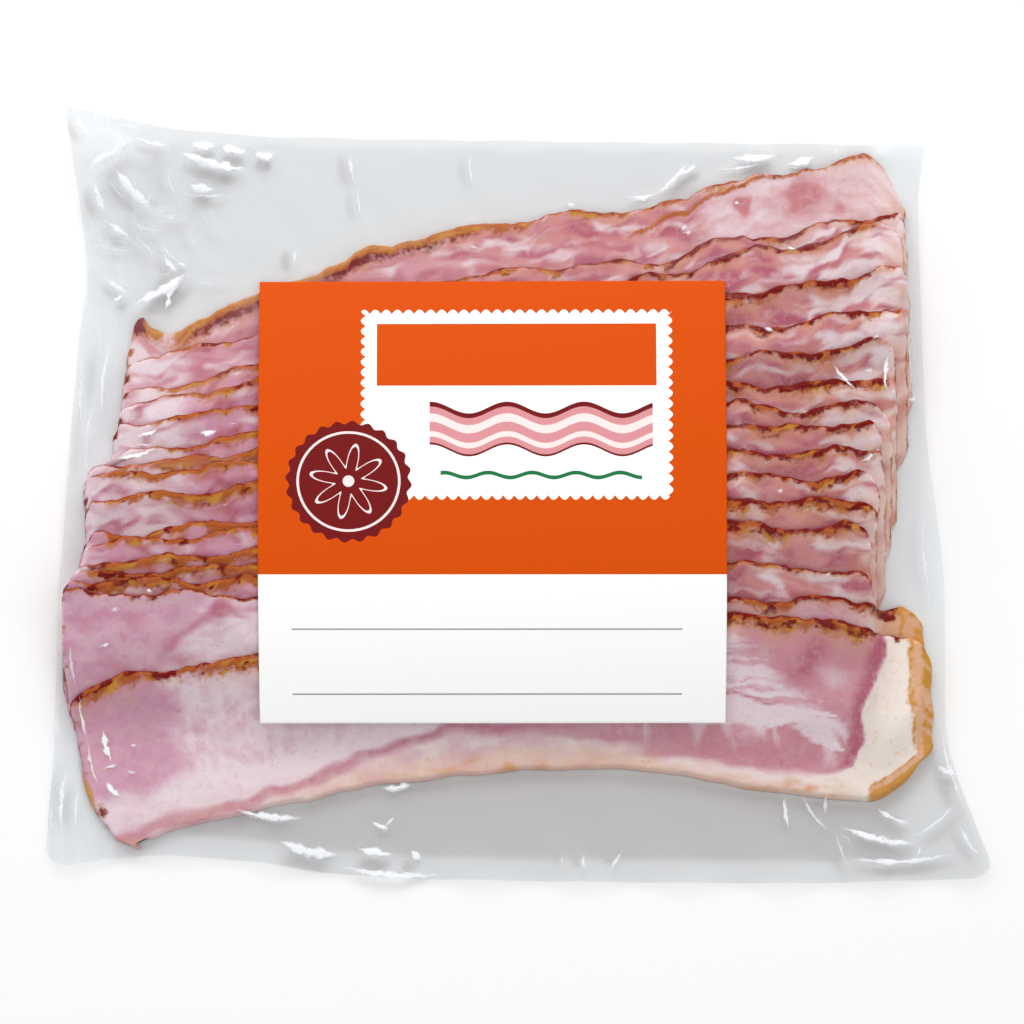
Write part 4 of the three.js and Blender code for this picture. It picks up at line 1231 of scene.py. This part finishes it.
class BACON_OT_rashers(bpy.types.Operator):
    """Adds the sixteen rashers, each a closed slice that lies on those under it"""

    bl_idname = "bacon_pack.rashers"
    bl_label = "Rashers"

    def execute(self, context):
        finish = rasher_finish()
        for k in range(LAST + 1):
            piece = self.add_rasher(k, finish)
            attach(piece, BODY)
            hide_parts("bag")
        return {"FINISHED"}

    @staticmethod
    def add_rasher(k, finish):
        """One slice: a grid between its ends and edges with rounded corners; its underside follows the pile below and
        its top lies a thickness above, coming down to it on the rim in a quarter circle."""
        length = rasher_right(k, 0.0) - rasher_left(k, 0.0)
        width = RASHER_WIDTH_RIGHT
        columns = rim_spaced(length, COLUMN_STEP)
        rows = row_spaced(width, width if k < WHOLE_FINE else FINE_ROWS_WIDTH)
        x, y = patch(
            lambda at: rasher_left(k, at), lambda at: rasher_right(k, at),
            lambda at: rasher_front(k, at), lambda at: rasher_edge(k, at), columns, rows,
        )
        across, up = np.meshgrid(columns, rows)
        left_gap, right_gap = across * length, (1 - across) * length
        front_gap, back_gap = up * width, (1 - up) * width
        for side_gap, side, radius in ((left_gap, -1, LEFT_CORNER_RADIUS), (right_gap, 1, RIGHT_CORNER_RADIUS)):
            x, y = round_corner(x, y, side_gap, back_gap, side, 1, radius)
            x, y = round_corner(x, y, side_gap, front_gap, side, -1, radius)
        rim = rim_profile(np.minimum.reduce([left_gap, right_gap, front_gap, back_gap]))
        pressed = squeeze(x, y)
        below = PILE_BASE + pile_height(x, y, k + 1) * pressed
        thickness = rasher_thickness(x) * pressed * mix(1, smoothstep(0, HIDDEN_EDGE_SLOPE, front_gap), float(k > 0))
        relief = RASHER_RELIEF * rough_noise(x / 6, y / 5, 21 + k, 2) * rim
        top = below + thickness * rim + relief
        marks = {0: first_rasher_marks, 1: second_rasher_marks}.get(k, lambda *at: rasher_marks(k, *at))
        warm = smoothstep(-60, 60, x) * (1.0 if k > 1 else 0.5) + 0.4 * smoothstep(12, 14, k)
        shares = (*marks(x, y), np.clip(warm, 0, 1), *crust_marks(k, x, y))
        return add_envelope(f"rasher_{k + 1:02d}", x, y, top, below, finish, list(zip(MEAT_SHARES, shares)))


class BACON_OT_film(bpy.types.Operator):
    """Adds the clear pouch, one closed skin round the rashers"""

    bl_idname = "bacon_pack.film"
    bl_label = "Film"

    def execute(self, context):
        piece = self.add_film(context.scene.bacon_pack_sizes.film_gap / MM)
        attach(piece, BODY)
        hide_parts("bag")
        return {"FINISHED"}

    @staticmethod
    def add_film(gap):
        """The pouch's outline as a grid. Its top skin is relaxed over the pile and the margins, creased, and drawn to
        the label; its underside lies flat under the pile and a little off the table in the margins."""
        columns, rows = np.linspace(0, 1, FILM_COLUMNS), np.linspace(0, 1, FILM_ROWS)
        x, y = patch(left_edge, right_edge, front_edge, back_edge, columns, rows)
        across, up = np.meshgrid(columns, rows)
        length, width = np.ptp(x), np.ptp(y)
        for side_gap, side in ((across * length, -1), ((1 - across) * length, 1)):
            x, y = round_corner(x, y, side_gap, up * width, side, -1, FRONT_CORNER_RADIUS)
        pile = pile_height(x, y) * squeeze(x, y)
        filled = pile > PILE_LEAST
        lying = margin_height(x, y)
        low = np.where(filled, PILE_BASE + pile + gap, lying + FILM_SLACK)
        skin = relaxed(low, FILM_RELAX_ROUNDS)
        margin = smoothstep(3.5, 0.5, skin - lying)
        from_edge = np.minimum.reduce([across * length, (1 - across) * length, up * width, (1 - up) * width])
        inside = smoothstep(0, FILM_EDGE_FLAT, from_edge)
        held = under_label(x, y)
        ridge, white, offset, grey = creases(x, y)
        top = mix(skin + (crumple(x, y, margin) + ridge) * inside, label_height(x, y) - LABEL_GAP, held)
        top = np.where(filled, np.maximum(top, low), top)
        bottom = mix(np.full_like(x, FILM_UNDERSIDE), lying, smoothstep(3.0, 0.5, relaxed(pile, FILM_RELAX_ROUNDS)))
        # Painted reflection on the facets near the lifted corner and painted sheen along the left pleats, both as
        # whiter veil over the plain haze.
        facets = np.exp(-(from_raised_corner(x, y) / PAINTED_REFLECTION_REACH) ** 2)
        facets = FACETS_PAINTED_REFLECTION * facets * smoothstep(-0.3, 0.5, noise(x / 9, y / 7 + x / 14, 96))
        pleats = smoothstep(*PLEATS_X, x) * smoothstep(-0.2, 0.6, noise(x / 3.5, y / 38, 95))
        veil = VEIL + margin * (MARGIN_VEIL + facets + PLEATS_PAINTED_SHEEN * pleats)
        # Painted shade: a painted shadow of the pile over the front margin, lighter on the seal, and painted shade over
        # the back margin, the front right corner, the right margin and beside the creases.
        from_meat = first_rasher_front(x) - y
        shade = smoothstep(-2, 3, from_meat) * smoothstep(-125, -85, x) * smoothstep(125, 90, x)
        shade = shade * mix(1.0, 0.45, smoothstep(SEAL_WIDTH + 1.5, SEAL_WIDTH - 1.5, up * width))
        front_right = FRONT_RIGHT_SHADE * smoothstep(-55, -85, y) * smoothstep(60, 90, x)
        back = BACK_SHADE * smoothstep(112, 92, x) * mix(0.6, 1.0, smoothstep(-120, -100, x))
        shade = np.maximum.reduce([shade, back, front_right, RIGHT_SHADE * smoothstep(95, 110, x)])
        shade = np.clip(shade + CREASE_SHADE * grey * margin, 0, MOST_SHADE)
        streaks = [(f"white_{layer}", white[layer] * (1 - held)) for layer in range(CREASE_LAYERS)]
        streaks += [(f"across_{layer}", offset[layer] - STREAK_WANDER / 2) for layer in range(CREASE_LAYERS)]
        shares = [("veil", veil), ("shade", shade), *streaks]
        return add_envelope("film", x, y, top, bottom, film_finish(), shares, crisp=True)


class BACON_OT_label(bpy.types.Operator):
    """Adds the printed paper label on the film"""

    bl_idname = "bacon_pack.label"
    bl_label = "Label"

    def execute(self, context):
        paper = context.scene.bacon_pack_sizes.paper / MM
        rim = LABEL_RIM_LINES
        across, up = (
            np.r_[rim, np.arange(2, size - 1, LABEL_STEP), size - rim[::-1]] / size
            for size in (LABEL_RIGHT - LABEL_LEFT, LABEL_BACK - LABEL_FRONT)
        )
        u, v = np.meshgrid(across, up)
        slip_x, slip_y = (
            mix(mix(slip[0], slip[1], u), mix(slip[2], slip[3], u), v) for slip in np.array(LABEL_CORNER_SLIPS).T
        )
        x, y = mix(LABEL_LEFT, LABEL_RIGHT, u) + slip_x, mix(LABEL_FRONT, LABEL_BACK, v) + slip_y
        low = label_height(x, y)
        inner = np.zeros_like(x)
        inner[1:-1, 1:-1] = 1
        top = low + paper * mix(0.5, 1, inner)
        piece = add_envelope("label_sheet", x, y, top, low, label_finish(), uv=(u, v), crisp=True)
        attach(piece, BODY)
        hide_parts("label")
        return {"FINISHED"}


class BACON_PT_pack(bpy.types.Panel):
    """Lists the pack's pieces, sizes and colours"""

    bl_label = "Bacon Pack"
    bl_idname = "BACON_PT_pack"
    bl_space_type = "VIEW_3D"
    bl_region_type = "UI"
    bl_category = "Bacon Pack"

    def draw(self, context):
        for operator in OPERATORS:
            self.layout.operator(operator.bl_idname)
        for group in (context.scene.bacon_pack_sizes, context.scene.bacon_pack_colours):
            box = self.layout.box()
            for name in group.__annotations__:
                box.prop(group, name)


OPERATORS = (BACON_OT_stage, BACON_OT_rashers, BACON_OT_film, BACON_OT_label)
CLASSES = (BaconPackSizes, BaconPackColours, *OPERATORS, BACON_PT_pack)


def register():
    for item in CLASSES:
        bpy.utils.register_class(item)
    bpy.types.Scene.bacon_pack_sizes = PointerProperty(type=BaconPackSizes)
    bpy.types.Scene.bacon_pack_colours = PointerProperty(type=BaconPackColours)


def unregister():
    del bpy.types.Scene.bacon_pack_colours
    del bpy.types.Scene.bacon_pack_sizes
    for item in reversed(CLASSES):
        bpy.utils.unregister_class(item)


def main():
    """Builds the whole scene."""
    register()
    bpy.ops.bacon_pack.stage()
    bpy.ops.bacon_pack.rashers()
    bpy.ops.bacon_pack.film()
    bpy.ops.bacon_pack.label()


if __name__ == "__main__":
    main()
